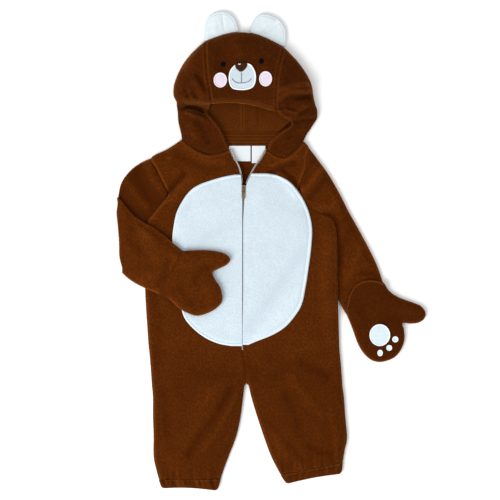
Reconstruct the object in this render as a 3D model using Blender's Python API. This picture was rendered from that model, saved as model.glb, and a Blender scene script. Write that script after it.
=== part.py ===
"""Bear costume romper for a small child: laid flat on its back, its right sleeve folded over the front.

X runs to the wearer's left and Y to the hood, seen from above. Lengths are in millimetres until a mesh is made.
"""

import math

import bmesh
import bpy
import numpy as np
from mathutils import Vector
from mathutils.bvhtree import BVHTree

MM = 0.001
CLOTH = 2.2  # fleece wall
GAP = 0.3  # between pieces that touch
ARM_GAP = 1.3  # between a sleeve's curved end and the body
SEAM = 3.4  # height at which front and back edges meet
RISE = 6.5  # from that edge up to the top of the front
SWELL = 2.5  # further rise towards the middle of a panel
ROUND = 1.2  # width of a rounded edge over its height
TUCK = 7.1  # height of the flat sleeve that lies under the body's left side
CENTRE_BACK = -47.5
BACK_NECK_Y = 174.7
BODY_ROWS = 45
BODY_COLUMNS = 7
BACK_COLUMNS = 4
BELLY_THICK = 1.8
LINING_THICK = 1.6
BAND_THICK = 1.4
LABEL_THICK = 0.8

# Each finish: its colour, roughness and how metallic it is.
FINISHES = {
    "brown_fleece": ((0.095, 0.024, 0.004), 0.95, 0),
    "brown_lining": ((0.075, 0.020, 0.004), 0.9, 0),
    "white_fleece": ((0.78, 0.84, 0.88), 0.9, 0),
    "pink_satin": ((0.86, 0.70, 0.76), 0.5, 0),
    "nose_satin": ((0.10, 0.03, 0.012), 0.5, 0),
    "black_thread": ((0.01, 0.01, 0.011), 0.4, 0),
    "label_satin": ((0.85, 0.87, 0.88), 0.45, 0),
    "zip_bronze": ((0.30, 0.19, 0.09), 0.35, 1),
}

# Front and its leg, a row for each section from neck to hem. The outer edge is the shoulder, armhole and side,
# the inner edge the zip, centre seam and inside leg. dip: how far the row bows down at its middle. sag: how far
# the inner edge drops. sewn_out, sewn_in: 1 where the front meets the back at that edge.
FRONT_COLUMNS = ("out_x", "out_y", "in_x", "in_y", "back_x", "dip", "rise", "sag", "sewn_out", "sewn_in")
FRONT_RIGHT = [
    (-148, 184, -70, 167, -47.7, 16, 6.0, 3.5, 1, 0),
    (-172, 168, -64, 153, -47.7, 8, 6.5, 3.0, 1, 0),
    (-199, 153, -56, 138, -47.7, 3, 6.5, 2.0, 1, 0),
    (-189, 130, -52, 122, -47.7, 0, 6.5, 0.5, 0, 0),
    (-179, 110, -51, 107, -47.7, 0, 6.5, 0, 0, 0),
    (-172, 94, -51, 97, -47.7, 0, 6.5, 0, 0, 0),
    (-179, 82, -50, 84, -47.7, 0, 6.5, 0, 0, 0),
    (-191, 67, -50, 67, -47.7, 0, 6.5, 0, 0, 0),
    (-205, 47, -50, 47, -47.7, 0, 6.5, 0, 1, 0),
    (-208, 9, -50, 9, -47.7, 0, 6.5, 0, 1, 0),
    (-209, -61, -50, -61, -47.7, 0, 6.5, 0, 1, 0),
    (-205, -131, -50.3, -131, -47.7, 0, 6.5, 0, 1, 0),
    (-203, -159, -50.1, -157, -47.8, 0, 6.5, 0, 1, 0),
    (-202, -167, -48.4, -165, -48.0, 0, 6.5, 0, 1, 0),
    (-200, -190, -44.4, -190, -44.4, 0, 6.5, 0, 1, 0),
    (-198, -218, -41.8, -218, -41.8, 0, 6.5, 0, 1, 1),
    (-197.5, -225, -42.6, -223, -42.6, 0, 6.5, 0, 1, 1),
    (-196, -243, -47, -243, -47, 0, 6.5, 0, 1, 1),
    (-196, -274, -51, -274, -51, 0, 6.5, 0, 1, 1),
    (-195, -306, -58, -306, -58, 0, 6.5, 0, 1, 1),
    (-195, -339, -70, -338, -70, 0, 6.5, 0, 1, 1),
    (-191, -360, -78, -359, -78, 0, 5.5, 0, 1, 1),
    (-186, -378, -84, -377, -84, 0, 4.5, 0, 1, 1),
]
FRONT_LEFT = [
    (53, 181, -7, 167, -47.3, 20, 6.0, 3.5, 1, 0),
    (62, 170, -16, 152, -47.3, 10, 6.5, 3.0, 1, 0),
    (59, 155, -26, 137, -47.3, 3, 6.5, 2.0, 0, 0),
    (57, 135, -35, 120, -47.3, 0, 6.5, 0.5, 0, 0),
    (50, 118, -40, 107, -47.3, 0, 6.5, 0, 0, 0),
    (47, 104, -41, 97, -47.3, 0, 6.5, 0, 0, 0),
    (52, 87, -43, 84, -47.3, 0, 6.5, 0, 0, 0),
    (60, 74, -44, 67, -47.3, 0, 6.5, 0, 1, 0),
    (82, 62, -45, 47, -47.3, 0, 6.5, 0, 1, 0),
    (102, 48, -45, 18, -47.3, 0, 6.5, 0, 1, 0),
    (108, 14, -45, -9, -47.3, 0, 6.5, 0, 1, 0),
    (109, -65, -45, -65, -47.3, 0, 6.5, 0, 1, 0),
    (111, -118, -46, -123, -47.3, 0, 6.5, 0, 1, 0),
    (112, -152, -46.2, -157, -47.3, 0, 6.5, 0, 1, 0),
    (112.5, -163, -47.7, -165, -47.4, 0, 6.5, 0, 1, 0),
    (115, -190, -43.7, -190, -43.7, 0, 6.5, 0, 1, 0),
    (117, -217, -40.8, -218, -40.8, 0, 6.5, 0, 1, 1),
    (117.5, -225, -40.0, -223, -40.0, 0, 6.5, 0, 1, 1),
    (120, -243, -33, -243, -33, 0, 6.5, 0, 1, 1),
    (122, -273, -24, -273, -24, 0, 6.5, 0, 1, 1),
    (125, -309, -12, -309, -12, 0, 6.5, 0, 1, 1),
    (121, -330, 0, -341, 0, 0, 5.5, 0, 1, 1),
    (118, -349, 15, -370, 15, 0, 4.5, 0, 1, 1),
]

# The largest soft folds of the front, along lines. Columns: x0, y0, x1, y1, width, and height, raised or sunk.
FOLDS = [
    (-72, -228, -93, -274, 11, -2.2),
    (-93, -274, -133, -331, 10, -2.0),
    (-150, 126, -176, 92, 9, 2.0),
    (30, 122, 50, 92, 9, 1.8),
    (1, 131, 34, 145, 7, -1.5),
    (28, -200, 50, -232, 9, 1.6),
    (50, -232, 78, -262, 9, 1.3),
    (98, -262, 108, -320, 8, 1.4),
]

# Belly, each row from the outer edge of the oval to the zip. Columns: y, outer x.
BELLY_RIGHT = [
    (125.5, -60), (122, -79), (116, -100), (108, -121), (97, -136), (80, -148), (61, -157), (36, -162),
    (13, -164), (-15, -164), (-40, -163), (-65, -159), (-95, -149), (-113, -142), (-130, -127),
    (-144, -108), (-153, -87), (-157, -66),
]
BELLY_LEFT = [
    (127.5, -20), (127, -3), (123, 12), (114, 29), (99, 43), (78, 56), (55, 64), (32, 67), (2, 65),
    (-29, 61), (-61, 56), (-88, 50), (-107, 39), (-126, 22), (-139, 1), (-149, -24), (-155, -38),
]

# Sleeves as flat tubes. Each row crosses the tube from edge a to edge b. Columns: ax, ay, bx, by, puff (extra
# height of the upper side), clear (how far from edge b it stays flat, where other cloth lies on it) and bow (the
# row's sideways bend).
SLEEVE_LEFT = [
    (62.6, 169.6, 54.5, 86.5, 5, 0, 0),
    (69.5, 160.5, 61, 75.8, 5, 1, 0),
    (78, 149, 67.5, 71.4, 5, 2, 0),
    (95, 125, 83.2, 63.2, 5, 5, 0),
    (113, 94, 98, 49, 4.5, 11, 0),
    (127, 66, 98.5, 30, 4, 14, 0),
    (146, 32, 95, -10, 4.5, 22, 0),
    (163, 0, 97, -45, 4.5, 20, 0),
    (174, -23, 104, -70, 2.8, 14, 0),
    (181, -42, 113, -86, 0.2, 4, 0),
    (186, -57, 120, -99, 0, 0, 0),
]
SLEEVE_RIGHT_UPPER = [
    (-199.6, 152.8, -208.8, 12, 5, 70, 0),
    (-217, 145, -216, 2, 4.5, 70, 0),
    (-233, 131, -228, -8, 3.5, 80, 0),
    (-243, 115, -238, -22, 1.5, 95, 0),
    (-247, 98, -242, -35, 0, 100, -3),
]
SLEEVE_RIGHT_FOREARM = [
    (-247, 98, -242, -35, 0, 0, -3),
    (-240, 82, -235, -46, 1.5, 0, -2),
    (-226, 65, -224, -54, 3, 0, 0),
    (-210, 52, -212, -60, 4, 0, 0),
    (-192, 38, -203, -64, 4.5, 0, 0),
    (-174, 24, -195, -67.5, 4.5, 0, 0),
    (-160, 13, -190, -69.5, 4, 0, 0),
    (-146, 0, -186, -71, 3.5, 0, 0),
]
FLAT = 3.4  # half the height of a flat sleeve
BACK_RISE = 6.9  # height of the right mitten's back above its seam
PALM_RISE = 7.6  # height of the left mitten's palm above its seam
ARM_CLEAR = 0.9  # between the forearm and what it lies on
ON_BODY = 11.0  # lowest middle height of the forearm, on the upper arm

# Outlines of mittens. Columns: x, y, and sewn: 1 where back and palm meet, 0 along a straight wrist and 0.5 on a
# free curve.
MITTEN_RIGHT = [
    (-145.5, -0.5, 0), (-136, 0.5, 1), (-123, 1, 1), (-105, 1, 1), (-85, -2, 1), (-73, -7, 1), (-68, -15, 1),
    (-75, -24, 1), (-90, -31, 1), (-97, -36, 1), (-93, -47, 1), (-84, -61, 1), (-81, -81, 1), (-90, -94, 1),
    (-106, -103, 1), (-123, -107, 1), (-139, -102, 1), (-153, -94, 1), (-168, -80, 1), (-185.3, -71.6, 0),
    (-175.2, -53.8, 0), (-165.2, -36, 0), (-155.3, -18.3, 0),
]
MITTEN_LEFT_ROUND = [
    (124, -105, 1), (130, -119, 1), (136, -135, 1), (143, -154, 1), (152, -169, 1), (164, -180, 1),
    (177, -184, 1), (191, -182, 1), (205, -175, 1), (215, -162, 1), (220, -146, 1), (219, -130, 1),
    (217, -120, 1), (230, -120.5, 1), (243, -119, 1), (252, -113, 1), (255, -103, 1), (248, -92, 1),
    (235, -86, 1), (213, -78, 1), (199, -70, 1), (191.5, -62.5, 1),
]
PALM_ARC = [
    (185, -53, 0.5), (177, -49.5, 0.5), (163, -47, 0.5), (147, -50, 0.5), (134, -60, 0.5), (127, -74, 0.5),
    (124, -90, 0.5),
]
WRIST_LINE = [(187.2, -57.9, 0), (170, -68.5, 0), (153.5, -79, 0), (137, -89.5, 0), (120.5, -100.2, 0)]
MITTEN_RIGHT_CENTRE = (-125, -42)
MITTEN_LEFT_CENTRE = (174, -108)
PAW_PAD = (178.5, -139, 17, 18)
PAW_TOES = [(179, -168.5, 4.5, 5.4), (194, -160, 4.8, 4.8), (204, -146, 5.1, 5.1)]

# Leg casings: the upper edge and then the lower edge, each as its ends at the outside and the inside leg.
HEM_RIGHT = [[(-186.5, -378.6), (-83.6, -377.6)], [(-182, -392), (-89, -396)]]
HEM_LEFT = [[(118.3, -349.8), (15, -370.8)], [(116, -368), (24, -385)]]
HEM_GATHERS = 9
HEM_HEIGHT = 4.2  # half the height of a casing

# Hood. The centre strip's rows run from the brim over the crown and down the back, where they lie on the table.
# Columns: right x and y, left x and y, and bow.
HOOD_CENTRE = [
    (-100, 241, 6, 229, 6), (-101, 254, 7, 249, 4), (-105, 278, 8, 278, 2), (-108, 305, 12, 302, 2),
    (-109, 326, 16, 320, 8), (-109, 340, 18, 331, 15), (-108.5, 346, 19, 336.5, 19.5),
    (-108, 343, 18.5, 333.5, 18), (-106, 332, 16, 323, 9), (-103, 290, 12, 290, 0), (-98, 232, 4, 232, 0),
    (-95, 180.2, 1, 178.8, -3.2),
]
CROWN = 6  # the row of HOOD_CENTRE at the crown
HOOD_EDGE = 6.0  # height of the hood's rim above the table
HOOD_ROUND = 46.0
NECK_HEIGHT = 11.4  # of the hood's lower edge, at most
# The hood's full height at each y.
HOOD_HEIGHT = [(170, 11.6), (184, 12), (200, 14), (216, 16), (232, 18), (246, 33), (275, 33), (300, 32), (360, 30)]
# Each side's rows run from the crown to the neck. Columns: x and y at the front seam or opening, at the rim and at
# the back seam, and the row's own height, or None where the hood's height holds.
HOOD_SIDE_RIGHT = [
    (-109.6, 341, -116, 341, -108.6, 341, None), (-109.6, 326, -132, 326, -106.6, 331, None),
    (-108.6, 305, -148, 305, -104.6, 306, None), (-105.6, 278, -160, 278, -103, 282, None),
    (-101.6, 254, -162, 258, -100.8, 256, None), (-100.6, 243, -157, 246, -99.8, 243, None),
    (-102, 238, -156.5, 241, -99.3, 238, 17), (-104, 233, -156, 236, -99, 233, 10),
    (-104, 225, -155, 229, -98.2, 225, 15), (-93, 212, -154, 214, -97.2, 212, 15),
    (-83, 198, -151, 200, -96.3, 198, 13.5), (-76, 182, -149, 192, -95.9, 188, 12),
    (-70, 168.2, -148.3, 185.6, -95.6, 180.9, None),
]
HOOD_SIDE_LEFT = [
    (19.6, 330, 27, 328, 19.2, 330, None), (16.6, 319, 41, 315, 17.0, 319, None),
    (12.6, 302, 56, 295, 14.4, 300, None), (8.6, 278, 66, 275, 12.2, 278, None),
    (7.6, 250, 69.5, 254, 7.6, 250, None), (6.8, 236, 73, 240, 5.4, 238, None),
    (10, 229, 75.5, 233, 4.4, 232, None), (18, 220, 76, 224, 4.2, 225, 17),
    (30, 214, 75, 218, 3.8, 218, 10), (31, 206, 72, 213, 3.4, 208, 14.5),
    (14, 194, 65, 202, 2.6, 198, 14.5), (0, 182, 58, 192, 2.2, 188, 12),
    (-7, 168.2, 53.8, 182.6, 1.6, 179.5, None),
]
# Lining and neck band, mirrored in the centre back. Columns: y, x at the right edge, and how much further the
# left edge lies out.
LINING = [(262, -98, 2), (245, -108, 12), (228, -104, 18), (212, -92, 12), (197, -84, 3)]
BAND = [(196.6, -83, 2), (185, -78, -3), (174.6, -72, -5)]
# Labels. Columns: left, right, bottom and top.
LABELS = {"label_right": (-70, -34.5, 148, 173.6), "label_left": (-32.5, -10, 145, 173.6)}

# Ears round their outline from the crown, the last points along the crown.
EAR_RIGHT = [
    (-113, 346.3, 1), (-112.5, 357, 1), (-111, 370, 1), (-107, 383, 1), (-99, 391.5, 1), (-86, 396, 1), (-72, 394, 1),
    (-62, 386, 1), (-56, 374, 1), (-54.5, 361.7, 1), (-66, 360.4, 0), (-80, 357.2, 0), (-95, 352.1, 0), (-107, 347.3, 0),
]
EAR_LEFT = [
    (-35.5, 360.5, 1), (-33, 374, 1), (-26, 386, 1), (-15, 392, 1), (1, 389, 1), (14, 381, 1), (22.5, 369, 1),
    (25, 356, 1), (24.5, 345, 1), (22.5, 337, 1), (17, 338.6, 0), (8, 343.3, 0), (-8, 351.4, 0), (-22, 356.9, 0),
]
EAR_CENTRES = {"right": (-83, 374), "left": (-6, 371)}
EAR_RISE = 4.2

# Face, each as a middle and half width and height.
MUZZLE = [
    (-58, 305.5, 1), (-66.5, 297, 1), (-70, 286, 1), (-69.5, 275, 1), (-65, 266, 1), (-56, 263, 1), (-42, 263, 1),
    (-31, 267, 1), (-26.5, 276, 1), (-26, 288, 1), (-30, 299, 1), (-38, 306, 1),
]
MUZZLE_CENTRE = (-48, 284)
EYES = {"eye_right": (-79.5, 305, 4.1, 4.5), "eye_left": (-17, 310, 4.1, 4.5)}
CHEEKS = {"cheek_right": (-84, 279, 11, 12.3), "cheek_left": (-10, 281, 10.6, 12.4)}
NOSE = [(-61, 306.5, 1), (-50, 308.5, 1), (-40, 306, 1), (-42.5, 298, 1), (-50.5, 292.5, 1), (-58.5, 298.5, 1)]
NOSE_CENTRE = (-50.5, 302)

# Zip: the middle of the closed chain, and the slider's and tab's own sizes.
CHAIN = [(-46.2, 101), (-46.3, 84), (-46.8, 60), (-47.4, 30), (-47.6, -20), (-47.8, -80), (-48.1, -128), (-48.2, -154)]
CHAIN_WIDTH = 3.8
CHAIN_TOP = 13.2
CHAIN_THICK = 2.4
SLIDER_XY = (-46.2, 103.0)
SLIDER_SIZE = (8.4, 10.4)
PLATE = 1.2
TOP_PLATE_Z = 13.7
HINGE_Y = 101.0
HINGE_ABOVE = 1.3  # hinge axis above the slider's top plate
LOOP_RADIUS = 2.75
LOOP_WIRE = 0.55
TAB_THICK = 1.2
ROW_WIDTH = 3.65  # of an open row of the zip
ROW_THICK = 1.8


def table(rows, names):
    """The columns of a table by name, as arrays."""
    return dict(zip(names, np.array(rows, float).T))


def refined(values, count):
    """Rows read along a smooth curve (Catmull-Rom) through the rows given."""
    values = np.asarray(values, float)
    at = np.linspace(0, len(values) - 1, count)
    i = np.minimum(at.astype(int), len(values) - 2)
    t = (at - i).reshape((-1,) + (1,) * (values.ndim - 1))
    before, start, end = values[np.maximum(i - 1, 0)], values[i], values[i + 1]
    after = values[np.minimum(i + 2, len(values) - 1)]
    bend = 2 * before - 5 * start + 4 * end - after
    twist = 3 * start - before - 3 * end + after
    return start + 0.5 * ((end - before) * t + bend * t**2 + twist * t**3)


def stepped(values, count):
    """Flags read between rows: on only where both neighbours are on."""
    at = np.linspace(0, len(values) - 1, count)
    return np.interp(at, np.arange(len(values)), values) > 0.9


def smooth(t):
    t = np.clip(t, 0, 1)
    return t * t * (3 - 2 * t)


def rounded(t):
    """A quarter of an ellipse: upright at 0 and level from 1 on."""
    t = np.clip(t, 0, 1)
    return np.sqrt(t * (2 - t))


def shares(count):
    """Places across a piece, closer together near both edges."""
    return (1 - np.cos(np.pi * np.arange(count) / (count - 1))) / 2


def distance(points, starts, ends):
    """Distance in plan from each point to the nearest of some straight edges."""
    along = (ends - starts)[:, :2]
    away = points[..., None, :2] - starts[:, :2]
    t = np.clip((away * along).sum(-1) / np.maximum((along**2).sum(-1), 1e-9), 0, 1)
    return np.linalg.norm(away - t[..., None] * along, axis=-1).min(-1)


def sewn_edges(points, sewn, closed=False):
    """The straight edges of a line whose ends are both sewn."""
    following = np.roll(points, -1, axis=0), np.roll(sewn, -1)
    keep = sewn & following[1]
    if not closed:
        keep[-1] = False
    return points[keep], following[0][keep]


def normals(grid, ring=False):
    """Unit normals of a grid of points, read from its neighbours."""
    down = np.gradient(grid, axis=0)
    across = np.roll(grid, -1, axis=1) - np.roll(grid, 1, axis=1) if ring else np.gradient(grid, axis=1)
    found = np.cross(down, across)
    return found / np.maximum(np.linalg.norm(found, axis=-1, keepdims=True), 1e-9)


def side_normals(line, side):
    """Level unit normals of a line in plan, to its left (+1) or right (-1)."""
    along = np.gradient(line[:, :2], axis=0)
    along /= np.linalg.norm(along, axis=1, keepdims=True)
    return side * np.stack([-along[:, 1], along[:, 0], np.zeros(len(line))], 1)


def finish(name):
    """The material of a finish, made once."""
    made = bpy.data.materials.get(name)
    if made:
        return made
    colour, roughness, metallic = FINISHES[name]
    made = bpy.data.materials.new(name)
    made.use_nodes = True
    shader = made.node_tree.nodes["Principled BSDF"]
    shader.inputs["Base Color"].default_value = (*colour, 1)
    shader.inputs["Roughness"].default_value = roughness
    shader.inputs["Metallic"].default_value = metallic
    made.diffuse_color = (*colour, 1)
    return made


def placed(name, mesh, kind):
    made = bpy.data.objects.new(name, mesh)
    bpy.data.collections["bear_romper"].objects.link(made)
    mesh.materials.append(finish(kind))
    return made


def finish_mesh(name, bm, kind):
    bmesh.ops.recalc_face_normals(bm, faces=bm.faces)
    if bm.calc_volume(signed=True) < 0:
        bmesh.ops.reverse_faces(bm, faces=bm.faces)
    for face in bm.faces:
        face.smooth = True
    mesh = bpy.data.meshes.new(name)
    bm.to_mesh(mesh)
    bm.free()
    return placed(name, mesh, kind)


def sheet(name, outer, inner, kind, ring=False):
    """A closed cloth wall: a grid laid on the outer points, thickened to the inner ones."""
    rows, columns = outer.shape[:2]
    if ring:
        outer = np.concatenate([outer, outer[:, :1]], axis=1)
        inner = np.concatenate([inner, inner[:, :1]], axis=1)
        columns += 1
    bm = bmesh.new()
    bmesh.ops.create_grid(bm, x_segments=columns - 1, y_segments=rows - 1, size=1)
    partner = bm.verts.layers.float_vector.new("inner")
    for vert, out_point, in_point in zip(bm.verts, outer.reshape(-1, 3), inner.reshape(-1, 3)):
        vert.co = out_point * MM
        vert[partner] = in_point * MM
    if ring:
        bmesh.ops.remove_doubles(bm, verts=bm.verts, dist=1e-7)
    made = bmesh.ops.extrude_face_region(bm, geom=bm.faces[:])
    for vert in (item for item in made["geom"] if isinstance(item, bmesh.types.BMVert)):
        vert.co = vert[partner]
    return finish_mesh(name, bm, kind)


def disc(name, outer, inner, kind):
    """A closed piece from rings of points round a centre: a sphere's upper half on the outer points, its lower
    half on the inner ones. Ring 0 is the centre."""
    rings, around = outer.shape[0] - 1, outer.shape[1]
    steps = 2 * rings + 1
    bm = bmesh.new()
    bmesh.ops.create_uvsphere(bm, u_segments=around, v_segments=steps, radius=1)
    for vert in bm.verts:
        ring = round(math.acos(max(-1, min(1, vert.co.z))) / math.pi * steps)
        turn = round(math.atan2(vert.co.y, vert.co.x) / (2 * math.pi) * around) % around
        vert.co = (outer[ring, turn] if ring <= rings else inner[steps - ring, turn]) * MM
    return finish_mesh(name, bm, kind)


def rings_of(outline, centre, count, share_of=None):
    """Plan points of a disc: rings of an outline drawn in towards a centre."""
    share = np.sin(np.linspace(0, 1, count + 1) * np.pi / 2) if share_of is None else np.array(share_of)
    centre = np.array(centre, float)
    return centre + share[:, None, None] * (outline[None, :, :2] - centre)


def closed_outline(points, count):
    """A closed outline refined to a number of points, with its sewn flags."""
    points = np.array(points, float)
    looped = np.concatenate([points, points[:1]])
    at = np.linspace(0, len(points), count + 1)[:-1]
    straight = np.stack([np.interp(at, np.arange(len(looped)), looped[:, k]) for k in (0, 1)], 1)
    flag = np.minimum(looped[at.astype(int), 2], looped[np.ceil(at - 1e-9).astype(int), 2])
    curved = refined(looped[:, :2], count + 1)[:-1]
    return np.where(flag[:, None] > 0.2, curved, straight), flag > 0.9


def surface_of(objects):
    """A tree for finding the top of some objects, in millimetres."""
    points, faces = [], []
    for made in objects:
        offset = len(points)
        points += [tuple(v.co / MM) for v in made.data.vertices]
        faces += [[offset + i for i in face.vertices] for face in made.data.polygons]
    return BVHTree.FromPolygons(points, faces)


def top_at(tree, x, y):
    hit = tree.ray_cast(Vector((x, y, 500)), Vector((0, 0, -1)))[0]
    return hit.z if hit else 0.0


def heights_on(tree, plan, reach=0.0):
    """Highest point of the cloth beneath each plan point, or within a short reach of it."""
    steps = [(0, 0)] + [(reach * math.cos(a), reach * math.sin(a)) for a in np.arange(6) * math.pi / 3 if reach]
    found = [max(top_at(tree, x + dx, y + dy) for dx, dy in steps) for x, y in plan.reshape(-1, plan.shape[-1])[:, :2]]
    return np.array(found).reshape(plan.shape[:-1])


class Drape:
    """A soft sheet's height over what lies beneath it: never lower, and smoother."""

    STEP = 3.0

    def __init__(self, objects, low, high):
        tree = surface_of(objects)
        self.low = np.array(low, float)
        count = ((np.array(high) - self.low) / self.STEP).astype(int) + 1
        found = np.array([[top_at(tree, low[0] + i * self.STEP, low[1] + j * self.STEP) for j in range(count[1])]
                          for i in range(count[0])])
        for _ in range(3):
            found = self.spread(found, np.max)
        for _ in range(3):
            found = self.spread(found, np.mean)
        self.found = found

    @staticmethod
    def spread(values, rule):
        wide = np.pad(values, 1, mode="edge")
        rows, columns = values.shape
        near = [wide[i:i + rows, j:j + columns] for i in range(3) for j in range(3)]
        return rule(np.stack(near), axis=0)

    def at(self, plan):
        place = (plan[..., :2] - self.low) / self.STEP
        limit = np.array(self.found.shape) - 1.001
        place = np.clip(place, 0, limit)
        i, j = place[..., 0].astype(int), place[..., 1].astype(int)
        s, t = place[..., 0] - i, place[..., 1] - j
        near = self.found[i, j] * (1 - s) * (1 - t) + self.found[i + 1, j] * s * (1 - t)
        return near + self.found[i, j + 1] * (1 - s) * t + self.found[i + 1, j + 1] * s * t


def lift(plan):
    """How far the body's left side lies above the table, on the flat sleeve."""
    x, y = plan[..., 0], plan[..., 1]
    return TUCK * smooth((x - 76) / 16) * smooth((76 - y) / 20) * smooth((y + 120) / 30)


def folds_at(plan):
    total = np.zeros(plan.shape[:-1])
    for x0, y0, x1, y1, width, height in FOLDS:
        away = distance(plan, np.array([(x0, y0)], float), np.array([(x1, y1)], float))
        total += height * np.exp(-((away / width) ** 2))
    return total


def body_sections(rows, count, back=False):
    """The two edges of each section, its other values, and which edges are sewn."""
    named = table(rows, FRONT_COLUMNS)
    fine = {name: refined(column, count) for name, column in named.items()}
    inner_x = fine["back_x"] if back else fine["in_x"]
    inner_y = fine["in_y"]
    if back:
        inner_y[0] = BACK_NECK_Y
    edges = np.stack([fine["out_x"], fine["out_y"]], 1), np.stack([inner_x, inner_y], 1)
    sewn = stepped(named["sewn_out"], count), stepped(named["sewn_in"], count)
    return edges, fine, sewn


def body_plan(edges, dip, columns):
    across = shares(columns)[None, :, None]
    plan = edges[0][:, None] * (1 - across) + edges[1][:, None] * across
    plan[..., 1] -= dip[:, None] * np.sin(np.pi * across[..., 0])
    return plan


def body_edge_distance(plan, edges, sewn):
    outer, inner = sewn_edges(edges[0], sewn[0]), sewn_edges(edges[1], sewn[1])
    starts, ends = np.concatenate([outer[0], inner[0]]), np.concatenate([outer[1], inner[1]])
    return distance(plan, starts, ends)


def front_grid(rows, count, columns):
    edges, fine, sewn = body_sections(rows, count)
    plan = body_plan(edges, fine["dip"], columns)
    away = body_edge_distance(plan, edges, sewn)
    rise = fine["rise"][:, None]
    z = SEAM + GAP / 2 + lift(plan) + rise * rounded(away / (ROUND * rise)) + SWELL * smooth(away / 45)
    to_zip = np.linalg.norm(plan - plan[:, -1:], axis=-1)
    z -= fine["sag"][:, None] * (1 - smooth(to_zip / 30))
    z += folds_at(plan) * smooth(away / 12)
    return np.concatenate([plan, z[..., None]], -1), sewn


def level_sewn_sides(found, plan, sewn):
    """Makes the normals of sewn edges lie level, so that front and back rims meet face to face."""
    turn = np.sign(plan[0, -1, 0] - plan[0, 0, 0])
    found[sewn[0], 0] = side_normals(plan[:, 0], -turn)[sewn[0]]
    found[sewn[1], -1] = side_normals(plan[:, -1], turn)[sewn[1]]


def upward(found):
    return found * np.where(found[..., 2:].mean() < 0, -1, 1)


def front_panel(name, rows):
    grid, sewn = front_grid(rows, BODY_ROWS, BODY_COLUMNS)
    found = upward(normals(grid))
    level_sewn_sides(found, grid, sewn)
    return grid, sheet(name, grid, grid - CLOTH * found, "brown_fleece")


def back_panel(name, rows):
    edges, fine, sewn = body_sections(rows, BODY_ROWS, back=True)
    plan = body_plan(edges, np.zeros(BODY_ROWS), BACK_COLUMNS)
    away = body_edge_distance(plan, edges, sewn)
    z = lift(plan) + (SEAM - GAP / 2) * (1 - rounded(away / (ROUND * SEAM)))
    grid = np.concatenate([plan, z[..., None]], -1)
    found = -upward(normals(grid))
    level_sewn_sides(found, grid, sewn)
    return sheet(name, grid, grid - CLOTH * found, "brown_fleece")


def belly_half(name, rows, front, zip_line, side):
    """A half of the white oval, laid on the front's own surface."""
    fine = refined(rows, 22)
    zip_x = np.interp(-fine[:, 0], -zip_line[:, 1], zip_line[:, 0]) + side * 0.7
    across = shares(5)
    plan = np.stack([
        fine[:, 1, None] * (1 - across) + zip_x[:, None] * across,
        np.repeat(fine[:, :1], 5, axis=1),
    ], -1)
    under = heights_on(surface_of([front]), plan, 5.0) + GAP + 0.1
    return sheet(
        name,
        np.dstack([plan, under + BELLY_THICK]),
        np.dstack([plan, under]),
        "white_fleece",
    )


def points_along(line, share):
    """Points at given shares of a line's length, one of them moved to the line's deepest corner."""
    length = np.concatenate([[0], np.cumsum(np.linalg.norm(np.diff(line, axis=0), axis=1))])
    depth = distance(line, line[:1], line[-1:])
    corner = length[np.argmax(depth)]
    place = share * length[-1]
    nearest = place[np.argmin(np.abs(place - corner))]
    place = np.where(np.isclose(place, nearest), corner, place)
    return np.stack([np.interp(place, length, line[:, k]) for k in (0, 1)], 1)


def flat_tube(rows, columns, base=None, start=None, turned=False):
    """Rings of a flattened tube: along its upper side from edge a to edge b, and back along its lower side."""
    half = columns // 2
    place = (shares(half + 1) + 2 * np.linspace(0, 1, half + 1)) / 3
    c = np.concatenate([place, place[::-1][1:-1]])
    upper = np.arange(len(c)) <= half
    a, b = rows[:, 0:2], rows[:, 2:4]
    row = b - a
    width = np.linalg.norm(row, axis=1, keepdims=True)
    row = row / width
    side = np.stack([-row[:, 1], row[:, 0]], 1)
    plan = a[:, None] + c[None, :, None] * (b - a)[:, None]
    plan += (rows[:, 6, None] * np.sin(np.pi * c))[..., None] * side[:, None]
    if start is not None:
        edge = points_along(start, c)
        fade = np.clip(1 - np.arange(len(rows)) / 4, 0, 1)[:, None, None]
        plan += fade * (edge - plan[0])[None]
    near = np.minimum(c, 1 - c)[None] * width
    body = FLAT * rounded(near / (ROUND * FLAT))
    from_b = (1 - c)[None] * width - rows[:, 5, None]
    puff = rows[:, 4, None] * smooth(c[None] * width / 16) * smooth(from_b / 14)
    middle = np.full(plan.shape[:2], FLAT) if base is None else base(plan)
    raised = ~upper if turned else upper
    up = np.where(upper, 1.0, -1.0) * (-1 if turned else 1)
    z = middle + up * (body + puff * raised)
    return np.dstack([plan, z])


def fold_rings(before, after):
    """Rings that carry a flat tube round its fold, from the last ring beneath to the first above."""
    steps = np.linspace(0, np.pi, 6)[1:-1]
    middle = (before + after) / 2
    rings = []
    for turn in steps:
        ring = middle + (before - after) / 2 * math.cos(turn)
        reach = np.abs(before[:, 2] - after[:, 2]) / 2
        ring[:, 0] = middle[:, 0] - reach * math.sin(turn)
        rings.append(ring)
    return np.array(rings)


def tube_sheet(name, rings, kind="brown_fleece"):
    found = normals(rings, ring=True)
    centre = rings.mean(axis=1, keepdims=True)
    if (found * (rings - centre)).sum(-1).mean() < 0:
        found = -found
    return sheet(name, rings, rings - CLOTH * found, kind, ring=True)


def sleeve_left(front_edge):
    rings = flat_tube(refined(SLEEVE_LEFT, 16), 12, start=front_edge)
    return tube_sheet("sleeve_left", rings)


def on_table(plan):
    """Middle height of a flat pair of layers that lie on the table."""
    return np.full(plan.shape[:2], SEAM)


def forearm_base(drape):
    return lambda plan: np.maximum(ON_BODY, drape.at(plan) + ARM_CLEAR + FLAT)


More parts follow.
